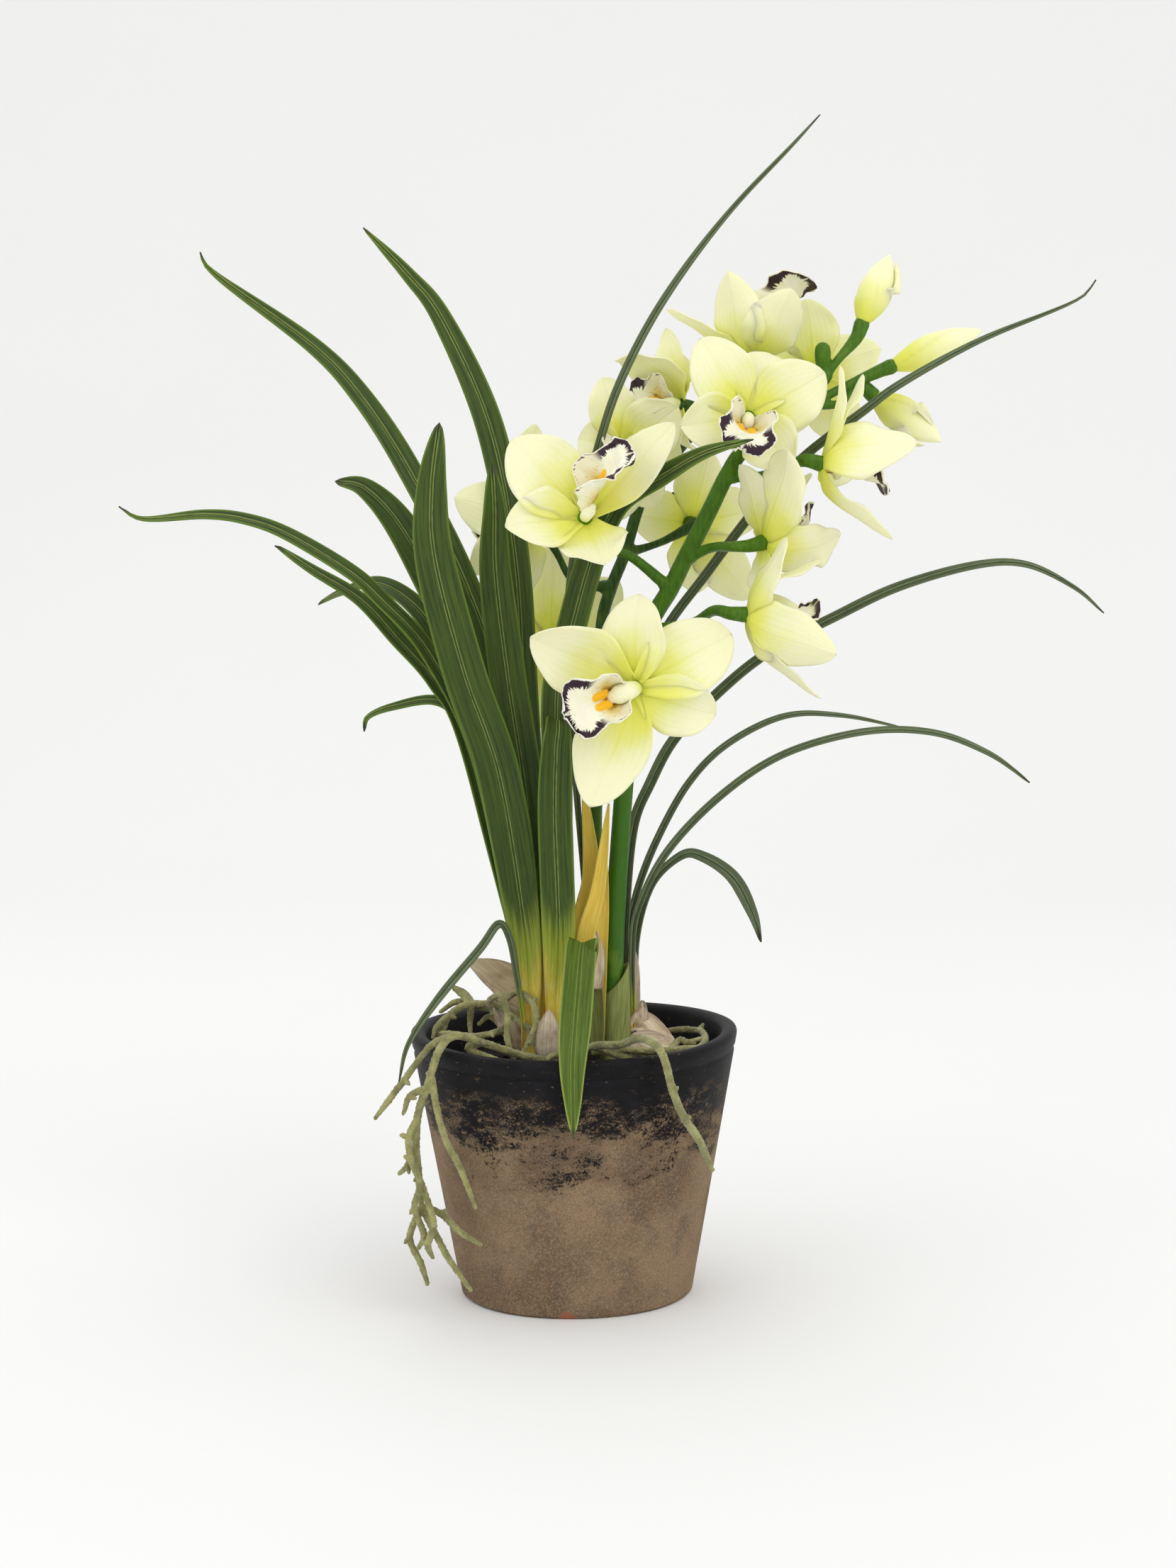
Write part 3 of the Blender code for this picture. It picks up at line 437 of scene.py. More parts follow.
def leaf_finish(name, shade, green, pale, rim, foot_reach, tip_reach):
    """A strap leaf: fine veins, two pale lines beside the midrib (painted highlights on its ribs), lighter
    margins and a yellow foot.
    """
    leaf = Finish(name, Specular_IOR_Level=0.3)
    side, edge, foot, tip = leaf.marks("side", "edge", "from_foot", "to_tip")
    long_streaks = leaf.streaks(side, foot, 1.1, 42)
    short_streaks = leaf.streaks(side, foot, 0.7, 6)
    mottle = leaf.cloud(5, 4, (1, 1, 2.5))
    veins = (side * 6.3 + long_streaks * 2).sine() * 0.5 + 0.5
    colour = leaf.blend(long_streaks.rise(0.3, 0.7), shade, green)
    colour = leaf.blend(mottle.rise(0.5, 0.75) * 0.4, colour, green)
    colour = leaf.blend(veins.rise(0.75, 1.0) * short_streaks.rise(0.35, 0.65) * 0.06, colour, pale)
    # Painted highlights: pale lines along the two raised ribs beside the midrib.
    lines = (side.size() - 0.75).size().rise(0.34, 0.1) * short_streaks.rise(0.2, 0.55)
    colour = leaf.blend(lines * 0.75, colour, pale)
    # Painted shade: a dark line down the midrib groove.
    colour = leaf.blend(side.size().rise(0.45, 0.1) * 0.6, colour, shade)
    colour = leaf.blend(edge.rise(1.1, 0.2) * 0.75, colour, rim)
    wander = (long_streaks - 0.5) * 34 - side.size() * 1.6
    young = (foot + wander).rise(foot_reach * 1.45, foot_reach * 0.95)
    colour = leaf.blend(young, colour, (0.3, 0.36, 0.035))
    yellow = (foot + wander).rise(foot_reach, foot_reach * 0.5)
    gold = leaf.blend(short_streaks.rise(0.35, 0.65), (0.76, 0.56, 0.02), (0.78, 0.68, 0.17))
    colour = leaf.blend(yellow, colour, gold)
    colour = leaf.blend(yellow * edge.rise(1.6, 0.3) * 0.5, colour, (0.42, 0.2, 0.09))
    dry = (tip + (mottle - 0.5) * 8).rise(tip_reach, 1.0)
    colour = leaf.blend(dry * 0.8, colour, (0.03, 0.028, 0.018))
    leaf.colour(colour)
    leaf.roughness(0.42 + short_streaks * 0.22)
    leaf.bump(veins * 0.5 + short_streaks * 0.6 + lines * 0.7, 0.16, 0.7)
    return leaf.material


def bract_finish(name, light, dark, blush):
    bract = Finish(name, Roughness=0.75, Specular_IOR_Level=0.3)
    side, foot = bract.marks("side", "from_foot")
    fibres = bract.streaks(side, foot, 0.5, 16)
    patches = bract.cloud(11, 4)
    colour = bract.blend(fibres.rise(0.3, 0.7), dark, light)
    colour = bract.blend(patches.rise(0.5, 0.75) * 0.6, colour, blush)
    colour = bract.blend(bract.mark("edge").rise(0.9, 0.1) * 0.5, colour, blush)
    bract.colour(colour)
    bract.bump(fibres + patches, 0.25, 0.6)
    return bract.material


def stem_finish(name, dark, green, lively):
    stem = Finish(name, Specular_IOR_Level=0.25)
    height = stem.height()
    ridges = stem.cloud(1.6, 3, (1, 1, 6))
    patches = stem.cloud(16, 4, (1, 1, 1.8))
    colour = stem.blend(ridges.rise(0.3, 0.7), dark, green)
    colour = stem.blend((height + (patches - 0.5) * 0.1).rise(0.3, 0.2), colour, lively)
    colour = stem.blend(patches.rise(0.58, 0.75) * 0.4, colour, (0.2, 0.3, 0.03))
    scars = stem.cloud(7, 3, (1, 1, 0.5)).rise(0.7, 0.75) * height.rise(0.29, 0.33)
    colour = stem.blend(scars * 0.75, colour, (0.055, 0.035, 0.015))
    stem.colour(colour)
    stem.roughness(0.33 + ridges * 0.2)
    stem.bump(ridges + stem.cloud(0.8, 2) * 0.5, 0.18, 0.6)
    return stem.material


def petal_finish(name, cream, green, throat):
    """A waxy tepal: greener at its foot and along its middle, with fine fanning veins."""
    petal = Finish(name, Subsurface_Weight=0.35, Subsurface_Radius=(0.9, 1.0, 0.35), Subsurface_Scale=0.003,
                   Specular_IOR_Level=0.3, Sheen_Weight=0.1, Sheen_Roughness=0.5)
    across, along = petal.marks("across", "along")
    soft = petal.cloud(15, 3)
    veins = petal.streaks(across * 9, along, 1.0, 0.6)
    fine = (across * 34 + (veins - 0.5) * 5).sine() * 0.5 + 0.5
    drift = (soft - 0.5) * 0.45 + across.size() * 0.16
    colour = petal.blend((along + drift).rise(0.22, 0.82), green, cream)
    colour = petal.blend((along + across.size() * 0.2 + (veins - 0.5) * 0.15).rise(0.3, 0.04), colour, throat)
    colour = petal.blend(across.size().rise(0.08, 0.0) * along.rise(0.95, 0.2) * 0.35, colour, green)
    colour = petal.blend(fine.rise(0.6, 1.0) * along.rise(1.0, 0.2) * 0.28, colour, green)
    petal.colour(colour)
    petal.roughness(0.5 + veins * 0.15)
    petal.bump(veins * 0.6 + fine * 0.35 - across.size().rise(0.07, 0.0), 0.22, 0.55)
    return petal.material


def lip_finish():
    """Cream lip: ragged burgundy strokes along its margin, dotted yellow throat darkened by painted shade,
    and golden callus.
    """
    lip = Finish("cream_lip_with_burgundy_margin", Subsurface_Weight=0.3, Subsurface_Radius=(1.0, 0.9, 0.5),
                 Subsurface_Scale=0.002, Specular_IOR_Level=0.35)
    across, along, edge = lip.marks("across", "along", "edge")
    spots = lip.cloud(1.0, 3, rough=0.6)
    strokes = lip.streaks(lip.mark("rim"), edge, 0.9, 7)
    patches = lip.streaks(lip.mark("rim"), edge, 9, 40)
    lobe = along.rise(0.5, 0.6)
    # The throat is a real yellow, made darker as painted shade inside the curled side lobes.
    throat = along.rise(0.56, 0.3) * across.size().rise(0.8, 0.2)
    colour = lip.blend(lip.cloud(8, 3).rise(0.4, 0.7), (0.86, 0.83, 0.64), (0.88, 0.88, 0.74))
    colour = lip.blend(throat, colour, (0.66, 0.5, 0.05))
    gold = lip.mark("callus").rise(0.25, 0.6)
    # Painted shade: dark brown deep in the throat at the lip's foot, under the column.
    colour = lip.blend(along.rise(0.4, 0.3) * across.size().rise(0.4, 0.2), colour, (0.3, 0.13, 0.02))
    colour = lip.blend(gold, colour, (0.9, 0.47, 0.005))
    dots = spots.rise(0.6, 0.66) * along.rise(0.6, 0.45) * across.size().rise(0.9, 0.3)
    colour = lip.blend(dots * (1 - gold * 0.8) * 0.8, colour, (0.13, 0.035, 0.015))
    flecks = spots.rise(0.66, 0.7) * edge.rise(8, 5) * lobe
    colour = lip.blend(flecks * 0.8, colour, (0.12, 0.02, 0.03))
    depth = 4.2 + (patches - 0.5) * 5
    band = (edge + (strokes - 0.5) * 7.5 - depth).rise(0.3, -0.3)
    band = band * (edge + (spots - 0.5) * 0.8).rise(0.35, 0.7)
    band = band * lobe * (1 - across.size().rise(0.12, 0.03) * 0.8)
    colour = lip.blend(band, colour, (0.026, 0.006, 0.016))
    fringe = (edge + (strokes - 0.5) * 12).rise(0.9, 0.3) * edge.rise(0.15, 0.4) * (1 - lobe)
    colour = lip.blend(fringe * along.rise(0.15, 0.3) * 0.9, colour, (0.09, 0.014, 0.028))
    lip.colour(colour)
    lip.roughness(0.5 + spots * 0.1)
    lip.bump(strokes * 0.6 + spots * 0.3, 0.25, 0.6)
    return lip.material


def column_finish():
    column = Finish("cream_column", Subsurface_Weight=0.3, Subsurface_Radius=(1.0, 0.9, 0.4),
                    Subsurface_Scale=0.002, Roughness=0.42, Specular_IOR_Level=0.4)
    along = column.mark("along")
    blush = column.cloud(3, 3)
    colour = column.blend((along + (blush - 0.5) * 0.3).rise(0.1, 0.6), (0.68, 0.72, 0.22), (0.88, 0.86, 0.6))
    colour = column.blend(column.cloud(0.9, 2).rise(0.68, 0.73) * along.rise(0.35, 0.7) * 0.6, colour,
                          (0.35, 0.1, 0.05))
    column.colour(colour)
    column.bump(blush, 0.2, 0.5)
    return column.material


def root_finish():
    root = Finish("flocked_root", Roughness=0.95, Specular_IOR_Level=0.2, Sheen_Weight=0.35,
                  Sheen_Roughness=0.6)
    flock = root.cloud(0.7, 3, rough=0.7)
    patches = root.cloud(7, 3)
    colour = root.blend(patches.rise(0.35, 0.65), (0.22, 0.21, 0.065), (0.39, 0.38, 0.135))
    colour = root.blend(flock.rise(0.5, 0.3) * 0.65, colour, (0.09, 0.085, 0.035))
    colour = root.blend(flock.rise(0.55, 0.75) * 0.5, colour, (0.46, 0.46, 0.24))
    root.colour(colour)
    root.bump(flock, 0.7, 0.9)
    return root.material


def floor_finish():
    floor = Finish("pale_studio_floor", Roughness=0.75, Specular_IOR_Level=0.2)
    floor.colour(floor.blend(floor.cloud(400, 2), (0.86, 0.86, 0.855), (0.88, 0.88, 0.872)))
    return floor.material


FINISHES = {
    "pot": clay_finish(),
    "mix": mix_finish(),
    "broad": leaf_finish("broad_leaf_green", (0.019, 0.04, 0.003), (0.052, 0.095, 0.005), (0.25, 0.31, 0.08),
                         (0.13, 0.22, 0.02), 52, 7),
    "narrow": leaf_finish("narrow_leaf_grey_green", (0.045, 0.066, 0.03), (0.11, 0.14, 0.07),
                          (0.22, 0.27, 0.15), (0.12, 0.15, 0.07), 28, 9),
    "young": leaf_finish("young_leaf_green", (0.045, 0.085, 0.004), (0.09, 0.15, 0.01), (0.22, 0.29, 0.05),
                         (0.33, 0.42, 0.08), 10, 5),
    "bract": bract_finish("papery_bract", (0.84, 0.74, 0.56), (0.62, 0.48, 0.33), (0.27, 0.165, 0.125)),
    "sheath": bract_finish("yellow_sheath", (0.8, 0.62, 0.13), (0.72, 0.46, 0.04), (0.6, 0.52, 0.1)),
    "sheath_green": bract_finish("green_sheath", (0.3, 0.34, 0.11), (0.17, 0.2, 0.045), (0.2, 0.17, 0.06)),
    "spike_front": stem_finish("flower_stem_green", (0.045, 0.125, 0.003), (0.07, 0.18, 0.004),
                               (0.036, 0.125, 0.004)),
    "spike_back": stem_finish("back_stem_green", (0.012, 0.04, 0.003), (0.035, 0.095, 0.006),
                              (0.06, 0.15, 0.014)),
    "petal": petal_finish("cream_green_tepal", (0.9, 0.89, 0.57), (0.77, 0.78, 0.12), (0.6, 0.67, 0.02)),
    "lip": lip_finish(),
    "column": column_finish(),
    "root": root_finish(),
}


# ---- shaping

def unit(vector):
    return Vector(vector).normalized()


def smooth_step(value, start, stop):
    share = min(max((value - start) / (stop - start), 0.0), 1.0)
    return share * share * (3 - 2 * share)


def between(value, stops):
    """Reads a smooth graph given as (place, height) pairs."""
    for (low, first), (high, last) in zip(stops, stops[1:]):
        if value <= high:
            return first + (last - first) * smooth_step(value, low, high)
    return stops[-1][1]


def smooth_route(points, count):
    """Points at equal steps of length along a Catmull-Rom curve. Each may carry more than three numbers."""
    ends = [2 * points[0] - points[1]] + points + [2 * points[-1] - points[-2]]
    fine = []
    for index in range(1, len(ends) - 2):
        before, start, stop, after = ends[index - 1:index + 3]
        for step in range(16):
            t = step / 16
            fine.append(0.5 * (2 * start + (stop - before) * t
                               + (2 * before - 5 * start + 4 * stop - after) * t ** 2
                               + (3 * start - before - 3 * stop + after) * t ** 3))
    fine.append(points[-1])
    lengths = [0.0]
    for first, second in zip(fine, fine[1:]):
        lengths.append(lengths[-1] + (second - first).length)
    route = []
    segment = 0
    for step in range(count):
        wanted = lengths[-1] * step / (count - 1)
        while segment < len(fine) - 2 and lengths[segment + 1] < wanted:
            segment += 1
        span = lengths[segment + 1] - lengths[segment]
        route.append(fine[segment].lerp(fine[segment + 1], (wanted - lengths[segment]) / span))
    return route, lengths[-1]


def frames(route, facing):
    """For each point of a route, the way across it and the way its upper side faces."""
    found = []
    for index in range(len(route)):
        along = (route[min(index + 1, len(route) - 1)] - route[max(index - 1, 0)]).normalized()
        up = facing - facing.dot(along) * along
        if found and up.length < 0.25:
            up = found[-1][1] - found[-1][1].dot(along) * along
        up.normalize()
        if found and up.dot(found[-1][1]) < 0:
            up = -up
        found.append((along.cross(up), up))
    return found


def choose(*pieces):
    """Selects these pieces alone, the first of them active."""
    bpy.ops.object.select_all(action="DESELECT")
    for piece in pieces:
        piece.select_set(True)
    if pieces:
        bpy.context.view_layer.objects.active = pieces[0]


def start_shape(name, add, **settings):
    """Adds one primitive with nothing else selected."""
    choose()
    add(**settings)
    bpy.context.object.name = name
    return bpy.context.object


def write_mark(piece, mark, values):
    """Keeps one number for each point of a piece, which its finish can read."""
    piece.data.attributes.new(mark, "FLOAT", "POINT").data.foreach_set("value", values)


def sheet(name, columns, rows, place):
    """A grid laid out by place(column share, row share), which gives a point and its marks."""
    piece = start_shape(name, bpy.ops.mesh.primitive_grid_add, x_subdivisions=columns, y_subdivisions=rows,
                        size=1)
    marks = {}
    for vertex in piece.data.vertices:
        spot, values = place(vertex.co.x + 0.5, vertex.co.y + 0.5)
        vertex.co = spot * MM
        for mark, value in values.items():
            marks.setdefault(mark, []).append(value)
    for mark, values in marks.items():
        write_mark(piece, mark, values)
    return piece


def use(piece, kind, **settings):
    """Adds one modifier and applies it."""
    choose(piece)
    modifier = piece.modifiers.new(kind.title(), kind)
    for setting, value in settings.items():
        setattr(modifier, setting, value)
    bpy.ops.object.modifier_apply(modifier=modifier.name)


def thicken(piece, thickness):
    use(piece, "SOLIDIFY", thickness=thickness * MM, offset=0.0)


def close_up(piece):
    """Merges the seam and the poles of a rolled sheet."""
    choose(piece)
    bpy.ops.object.mode_set(mode="EDIT")
    bpy.ops.mesh.select_all(action="SELECT")
    bpy.ops.mesh.remove_doubles(threshold=0.00002)
    bpy.ops.mesh.normals_make_consistent(inside=False)
    bpy.ops.object.mode_set(mode="OBJECT")


def join(pieces, name):
    choose(*pieces)
    if len(pieces) > 1:
        bpy.ops.object.join()
    pieces[0].name = name
    return pieces[0]


def settle(piece, finish, slot, *nodes):
    """Gives a finished piece its material, its place in the object and the design parts it stands for. The
    slot is not used.
    """
    piece.data.materials.clear()
    piece.data.materials.append(FINISHES[finish])
    piece.data.shade_smooth()
    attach(piece, "root")
    if nodes:
        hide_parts(*nodes)
    return piece


def tube(name, points, sides, step, swell=None):
    """A closed round rod through points of (x, y, z, radius)."""
    count = max(int(sum((b - a).length for a, b in zip(points, points[1:])) / step), 6) + 1
    knots, _ = smooth_route(points, count)
    route = [knot.to_3d() for knot in knots]
    turns = frames(route, Vector((0.31, -0.83, 0.46)))
    for index in range(1, count):
        across, up = turns[index]
        last = turns[index - 1][1]
        along = across.cross(up)
        carried = (last - last.dot(along) * along).normalized()
        turns[index] = (along.cross(carried), carried)
    caps = 3

    def place(u, v):
        row = round(v * (count + 2 * caps - 1))
        index = min(max(row - caps, 0), count - 1)
        radius = knots[index].w
        shift = 0.0
        if row < caps or row > count - 1 + caps:
            outside = (caps - row if row < caps else row - (count - 1 + caps)) / caps
            angle = outside * math.pi / 2
            shift = radius * math.sin(angle) * (1 if row > caps else -1)
            radius *= max(math.cos(angle), 0.0)
        across, up = turns[index]
        turn = 2 * math.pi * u
        if swell:
            radius *= swell(turn, index / (count - 1))
        spot = route[index] + across.cross(up) * shift
        return spot + (across * math.cos(turn) + up * math.sin(turn)) * radius, {"along": index / (count - 1)}

    piece = sheet(name, sides, count + 2 * caps - 1, place)
    close_up(piece)
    return piece


# ---- pot and potting mix

def make_pot():
    """A tapered pot: a cone, hollowed, with a soft rolled rim and a shallow groove under it."""
    wall, foot_wall, floor_depth = 7.6, 5, 9
    groove, groove_depth = POT_TOP - 9.5, 0.9
    foot_rounding, rim_rounding, rim_dip = 1.4, 3.4, 4.2
    pot = start_shape("pot_shell", bpy.ops.mesh.primitive_cone_add, vertices=160, radius1=FOOT_RADIUS * MM,
                      radius2=POT_RADIUS * MM, depth=POT_TOP * MM, location=(0, 0, POT_TOP * MM / 2))
    bpy.ops.object.transform_apply(location=True)
    bpy.ops.object.mode_set(mode="EDIT")
    bpy.ops.mesh.select_mode(type="FACE")
    bpy.ops.mesh.select_all(action="DESELECT")
    bpy.ops.object.mode_set(mode="OBJECT")
    for face in pot.data.polygons:
        face.select = face.center.z > (POT_TOP - 0.1) * MM and face.normal.z > 0.9
    bpy.ops.object.mode_set(mode="EDIT")
    bpy.ops.mesh.inset(thickness=wall * MM)
    bpy.ops.mesh.extrude_region_move(TRANSFORM_OT_translate={"value": (0, 0, -(POT_TOP - floor_depth) * MM)})
    narrow = (FOOT_RADIUS - foot_wall) / (POT_RADIUS - wall)
    bpy.ops.transform.resize(value=(narrow, narrow, 1), center_override=(0, 0, 0))
    for height in (groove - 2, groove, groove + 2, 3.0, 1.2):
        bpy.ops.mesh.select_all(action="SELECT")
        bpy.ops.mesh.bisect(plane_co=(0, 0, height * MM), plane_no=(0, 0, 1))
    bpy.ops.mesh.select_all(action="DESELECT")
    bpy.ops.mesh.select_mode(type="EDGE")
    bpy.ops.object.mode_set(mode="OBJECT")
    for vertex in pot.data.vertices:
        radius = math.hypot(vertex.co.x, vertex.co.y) / MM
        height = vertex.co.z / MM
        if radius > FOOT_RADIUS + (POT_RADIUS - FOOT_RADIUS) * height / POT_TOP - 3:
            inward = groove_depth if abs(height - groove) < 0.1 else foot_rounding if height < 0.1 else 0
            vertex.co.x *= 1 - inward / radius
            vertex.co.y *= 1 - inward / radius
    for edge in pot.data.edges:
        low, high = (pot.data.vertices[index].co for index in edge.vertices)
        level = abs(low.z - high.z) < 0.00001 and low.z > (POT_TOP - 0.1) * MM
        around = abs(math.hypot(low.x, low.y) - math.hypot(high.x, high.y)) < 0.0001
        edge.select = level and around
    bpy.ops.object.mode_set(mode="EDIT")
    bpy.ops.mesh.bevel(offset=rim_rounding * MM, segments=6, affect="EDGES")
    bpy.ops.object.mode_set(mode="OBJECT")
    for vertex in pot.data.vertices:
        turn = math.atan2(vertex.co.y, vertex.co.x)
        height = vertex.co.z / MM
        wobble = 0.35 * math.sin(2 * turn + 0.6) + 0.2 * math.sin(5 * turn + height * 0.03)
        radius = math.hypot(vertex.co.x, vertex.co.y) / MM
        if radius > 40 and height > 1:
            vertex.co.x *= 1 + wobble / radius
            vertex.co.y *= 1 + wobble / radius
        front = smooth_step(-vertex.co.y / MM, -10, POT_RADIUS)
        vertex.co.z -= rim_dip * front * smooth_step(vertex.co.z / MM, 60, POT_TOP) * MM
    settle(pot, "pot", "pot", "pot")
    choose(pot)
    bpy.ops.object.shade_smooth_by_angle(angle=math.radians(40))


def make_mix():
    """Loose dark mix that fills the pot, with crumbs and bark bits lying on it."""
    radius = POT_RADIUS - 12

    def place(u, v):
        x, y = 2 * u - 1, 2 * v - 1
        reach = max(abs(x), abs(y))
        far = math.hypot(x, y)
        if far > 0:
            x, y = x * reach / far, y * reach / far
        spot = Vector((x * radius, y * radius, MIX_TOP - 2.5))
        lumps = noise.noise(spot * 0.09) * 2.2 + noise.noise(spot * 0.3) * 1.3 + noise.noise(spot * 0.8) * 0.6
        mound = 1.8 * (1 - reach ** 2)
        spot.z += (lumps + mound) * smooth_step(1 - reach, 0, 0.08) - 1.5
        return spot, {}

    surface = sheet("potting_mix_top", 110, 110, place)
    depth = 5.0
    thicken(surface, depth)
    surface.data.transform(Matrix.Translation((0, 0, -depth / 2 * MM)))
    settle(surface, "mix", "mix", "potting_mix")

    rng = random.Random(7)
    crumbs = []
    for number in range(170):
        turn = rng.uniform(0, 2 * math.pi)
        reach = radius * 0.96 * math.sqrt(rng.random())
        size = rng.uniform(0.8, 2.4)
        crumb = start_shape("crumb", bpy.ops.mesh.primitive_ico_sphere_add, subdivisions=1, radius=size * MM)
        stretch = Vector((rng.uniform(0.7, 1.9), rng.uniform(0.6, 1.2), rng.uniform(0.35, 0.8)))
        turned = Matrix.Rotation(rng.uniform(0, math.pi), 4, "Z")
        turned = turned @ Matrix.Rotation(rng.uniform(-0.5, 0.5), 4, "X")
        for vertex in crumb.data.vertices:
            jitter = 1 + 0.25 * noise.noise(vertex.co * 900 + Vector((number, 0, 0)))
            vertex.co = turned @ (vertex.co * stretch * jitter)
            vertex.co += Vector((reach * math.cos(turn), reach * math.sin(turn), MIX_TOP - 2.0)) * MM
        crumbs.append(crumb)
    settle(join(crumbs, "potting_mix_crumbs"), "mix", "mix")


# ---- leaves and bracts

def blade_piece(name, width, facing, points, rows, columns, shape, thickness):
    """A strap along a route. shape(row share, side share, half width) gives (half width, lift)."""
    route, length = smooth_route([Vector(point) for point in points], rows + 1)
    sides = frames(route, unit(facing))

    def place(u, v):
        row = round(v * rows)
        across, up = sides[row]
        share = 2 * u - 1
        share = math.copysign(abs(share) ** 1.35, share)
        half, lift = shape(v, share, 0.5 * width)
        marks = {"side": share * half, "edge": (1 - abs(share)) * half, "from_foot": v * length,
                 "to_tip": (1 - v) * length}
        return route[row] + across * share * half + up * lift, marks

    piece = sheet(name, columns, rows, place)
    thicken(piece, thickness)
    return piece


ENDINGS = {"leaf_front_left_tall": "blunt", "leaf_front_tall": "blunt", "leaf_front_short": "blunt",
           "leaf_left_broad": "blunt", "leaf_left_middle": "blunt", "leaf_left_low": "blunt",
           "leaf_back_left_arching": "blunt", "leaf_right_low_front": "blunt",
           "leaf_right_drooping": "paddle"}


def leaf_outline(t, ending):
    """A share of the full width: a tapered strap, a blunt one, or a paddle that widens to its tip."""
    if ending == "paddle":
        foot = 0.42 + 0.2 * smooth_step(t, 0, 0.4) + 0.38 * smooth_step(t, 0.5, 0.85)
        tip = max(1.0 - (max(t - 0.84, 0.0) / 0.16) ** 1.4, 0.0) ** 0.7
    else:
        start, power, root = (0.6, 2.7, 0.58) if ending == "blunt" else (0.66, 1.6, 0.7)
        foot = 0.4 + 0.6 * smooth_step(t, 0, 0.42) ** 0.8
        tip = max(1.0 - (max(t - start, 0.0) / (1 - start)) ** power, 0.0) ** root
    return max(foot * tip, 0.015)


KEELS = {"broad": 0.2, "narrow": 0.5, "young": 0.16}


def make_leaves():
    """Nineteen strap leaves with a groove and two ribs along the middle."""
    rng = random.Random(3)
    for name, (width, facing, kind, points) in LEAVES.items():
        phase = rng.uniform(0, 6)

        def shape(t, share, half, phase=phase, keel=KEELS[kind], ending=ENDINGS.get(name, "tapered")):
            half *= leaf_outline(t, ending)
            wave = 0.05 * half * math.sin(9 * t + phase) * share
            wave += 0.035 * half * math.sin(31 * t + phase) * share ** 2
            groove = -0.32 * math.exp(-(share * half / 0.55) ** 2)
            ribs = 0.16 * math.exp(-((abs(share * half) - 0.85) / 0.4) ** 2)
            return half, keel * half * (abs(share) ** 1.3) + wave + (groove + ribs)

        foot = (points[0][0], points[0][1], PLANT_FOOT)
        rows = 120 if width > 8 else 110
        leaf = blade_piece(name + "_blade", width, facing, [foot] + points, rows, 16, shape, LEAF_THICKNESS)
        settle(leaf, kind, "leaf", name)


def make_bracts():
    """Papery bracts and sheaths, crumpled by noise."""
    for name, (slot, node, width, facing, crumple, points) in BRACTS.items():
        def shape(t, share, half, crumple=crumple, seed=len(name) * 3.7):
            half *= max(math.sin(math.pi * (0.22 + 0.76 * t)), 0.03) ** 0.8
            fold = noise.noise(Vector((share * 1.6, t * 3.2, seed)))
            fold += 0.5 * noise.noise(Vector((share * 4, t * 8, seed)))
            return half, 0.35 * half * share ** 2 + crumple * fold

        piece = blade_piece(name + "_sheet", width, facing, points, 30, 16, shape, 0.5)
        finish = "sheath_green" if name == "sheath_column_green" else slot
        settle(piece, finish, slot, *([node] if node else []))


def make_stem_sheath():
    """The green sheath that wraps the front stem's foot, with a slanting upper edge."""
    low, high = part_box("sheath_green")
    x, y = (low.x + high.x) / 2 / MM, (low.y + high.y) / 2 / MM
    foot, top = PLANT_FOOT, high.z / MM

    def place(u, v):
        turn = math.radians(80 + 380 * u)
        crest = top - 15 * (0.5 - 0.5 * math.cos(turn - math.radians(20)))
        radius = 6.1 + 0.8 * (1 - v) + 0.9 * u + 0.25 * math.sin(3 * turn)
        height = foot + (crest - foot) * v
        marks = {"side": radius * turn, "edge": (1 - v) * (crest - foot), "from_foot": height - foot}
        return Vector((x + radius * math.cos(turn), y + radius * math.sin(turn), height)), marks

    piece = sheet("sheath_green_wrap", 60, 24, place)
    thicken(piece, 0.7)
    settle(piece, "sheath_green", "sheath", "sheath_green")


# ---- stems and roots

def bloom_stalk_end(carried):
    """The last points of a stalk, so that it meets its bloom or bud square on."""
    if carried in BUDS:
        foot = Vector(BUDS[carried][0])
        along = (Vector(BUDS[carried][1]) - foot).normalized()
    else:
        foot = Vector(BLOOMS[carried - 1][0])
        along = unit(BLOOMS[carried - 1][1])
    near = foot - along * 8
    return [Vector((*near, STALK_END_RADIUS - 0.2)), Vector((*(foot - along * 0.5), STALK_END_RADIUS + 0.5))]


def blend_rods(rods, name, voxel, finish, slot, node, rough):
    """Melts crossing rods into one skin, then roughens it by rough millimetres."""
    piece = join(rods, name)
    use(piece, "REMESH", mode="VOXEL", voxel_size=voxel * MM, use_smooth_shade=True)
    use(piece, "SMOOTH", factor=0.5, iterations=3)
    normals = [vertex.normal.copy() for vertex in piece.data.vertices]
    places = []
    for vertex, normal in zip(piece.data.vertices, normals):
        spot = vertex.co / MM
        push = noise.noise(spot * 0.9) * 0.6 + noise.noise(spot * 2.1) * 0.4
        places.extend(vertex.co + normal * push * rough * MM)
    piece.data.vertices.foreach_set("co", places)
    piece.data.update()
    return settle(piece, finish, slot, node)


def make_spikes():
    """Flower stems with their stalks, and a collar where each stalk leaves."""
    for name, (main, stalks) in SPIKES.items():
        rods = [tube(name + "_main", [Vector(point) for point in main], 18, 2.5)]
        for start, points, carried in stalks:
            first = Vector(main[start])
            first.w = points[0][3] + 0.8
            line = [first] + [Vector(point) for point in points] + bloom_stalk_end(carried)
            rods.append(tube(name + "_stalk", line, 14, 2.0))
            scar = first.to_3d()
            away = (line[1].to_3d() - scar).normalized()
            collar = [Vector((*(scar + away * reach), size))
                      for reach, size in ((1.0, 3.6), (4.4, 3.4), (6.0, 2.6))]
            rods.append(tube(name + "_collar", collar, 14, 0.8))
        if name == "spike_front":
            x, y, z, _ = main[-1]
            stub = [Vector((x, y, z + rise, size)) for rise, size in ((-7, 3.2), (-3, 3.9), (1, 3.9))]
            rods.append(tube(name + "_stub", stub, 16, 1.0))
        blend_rods(rods, name + "_stem", 0.55, name, "stem", name, 0.12)


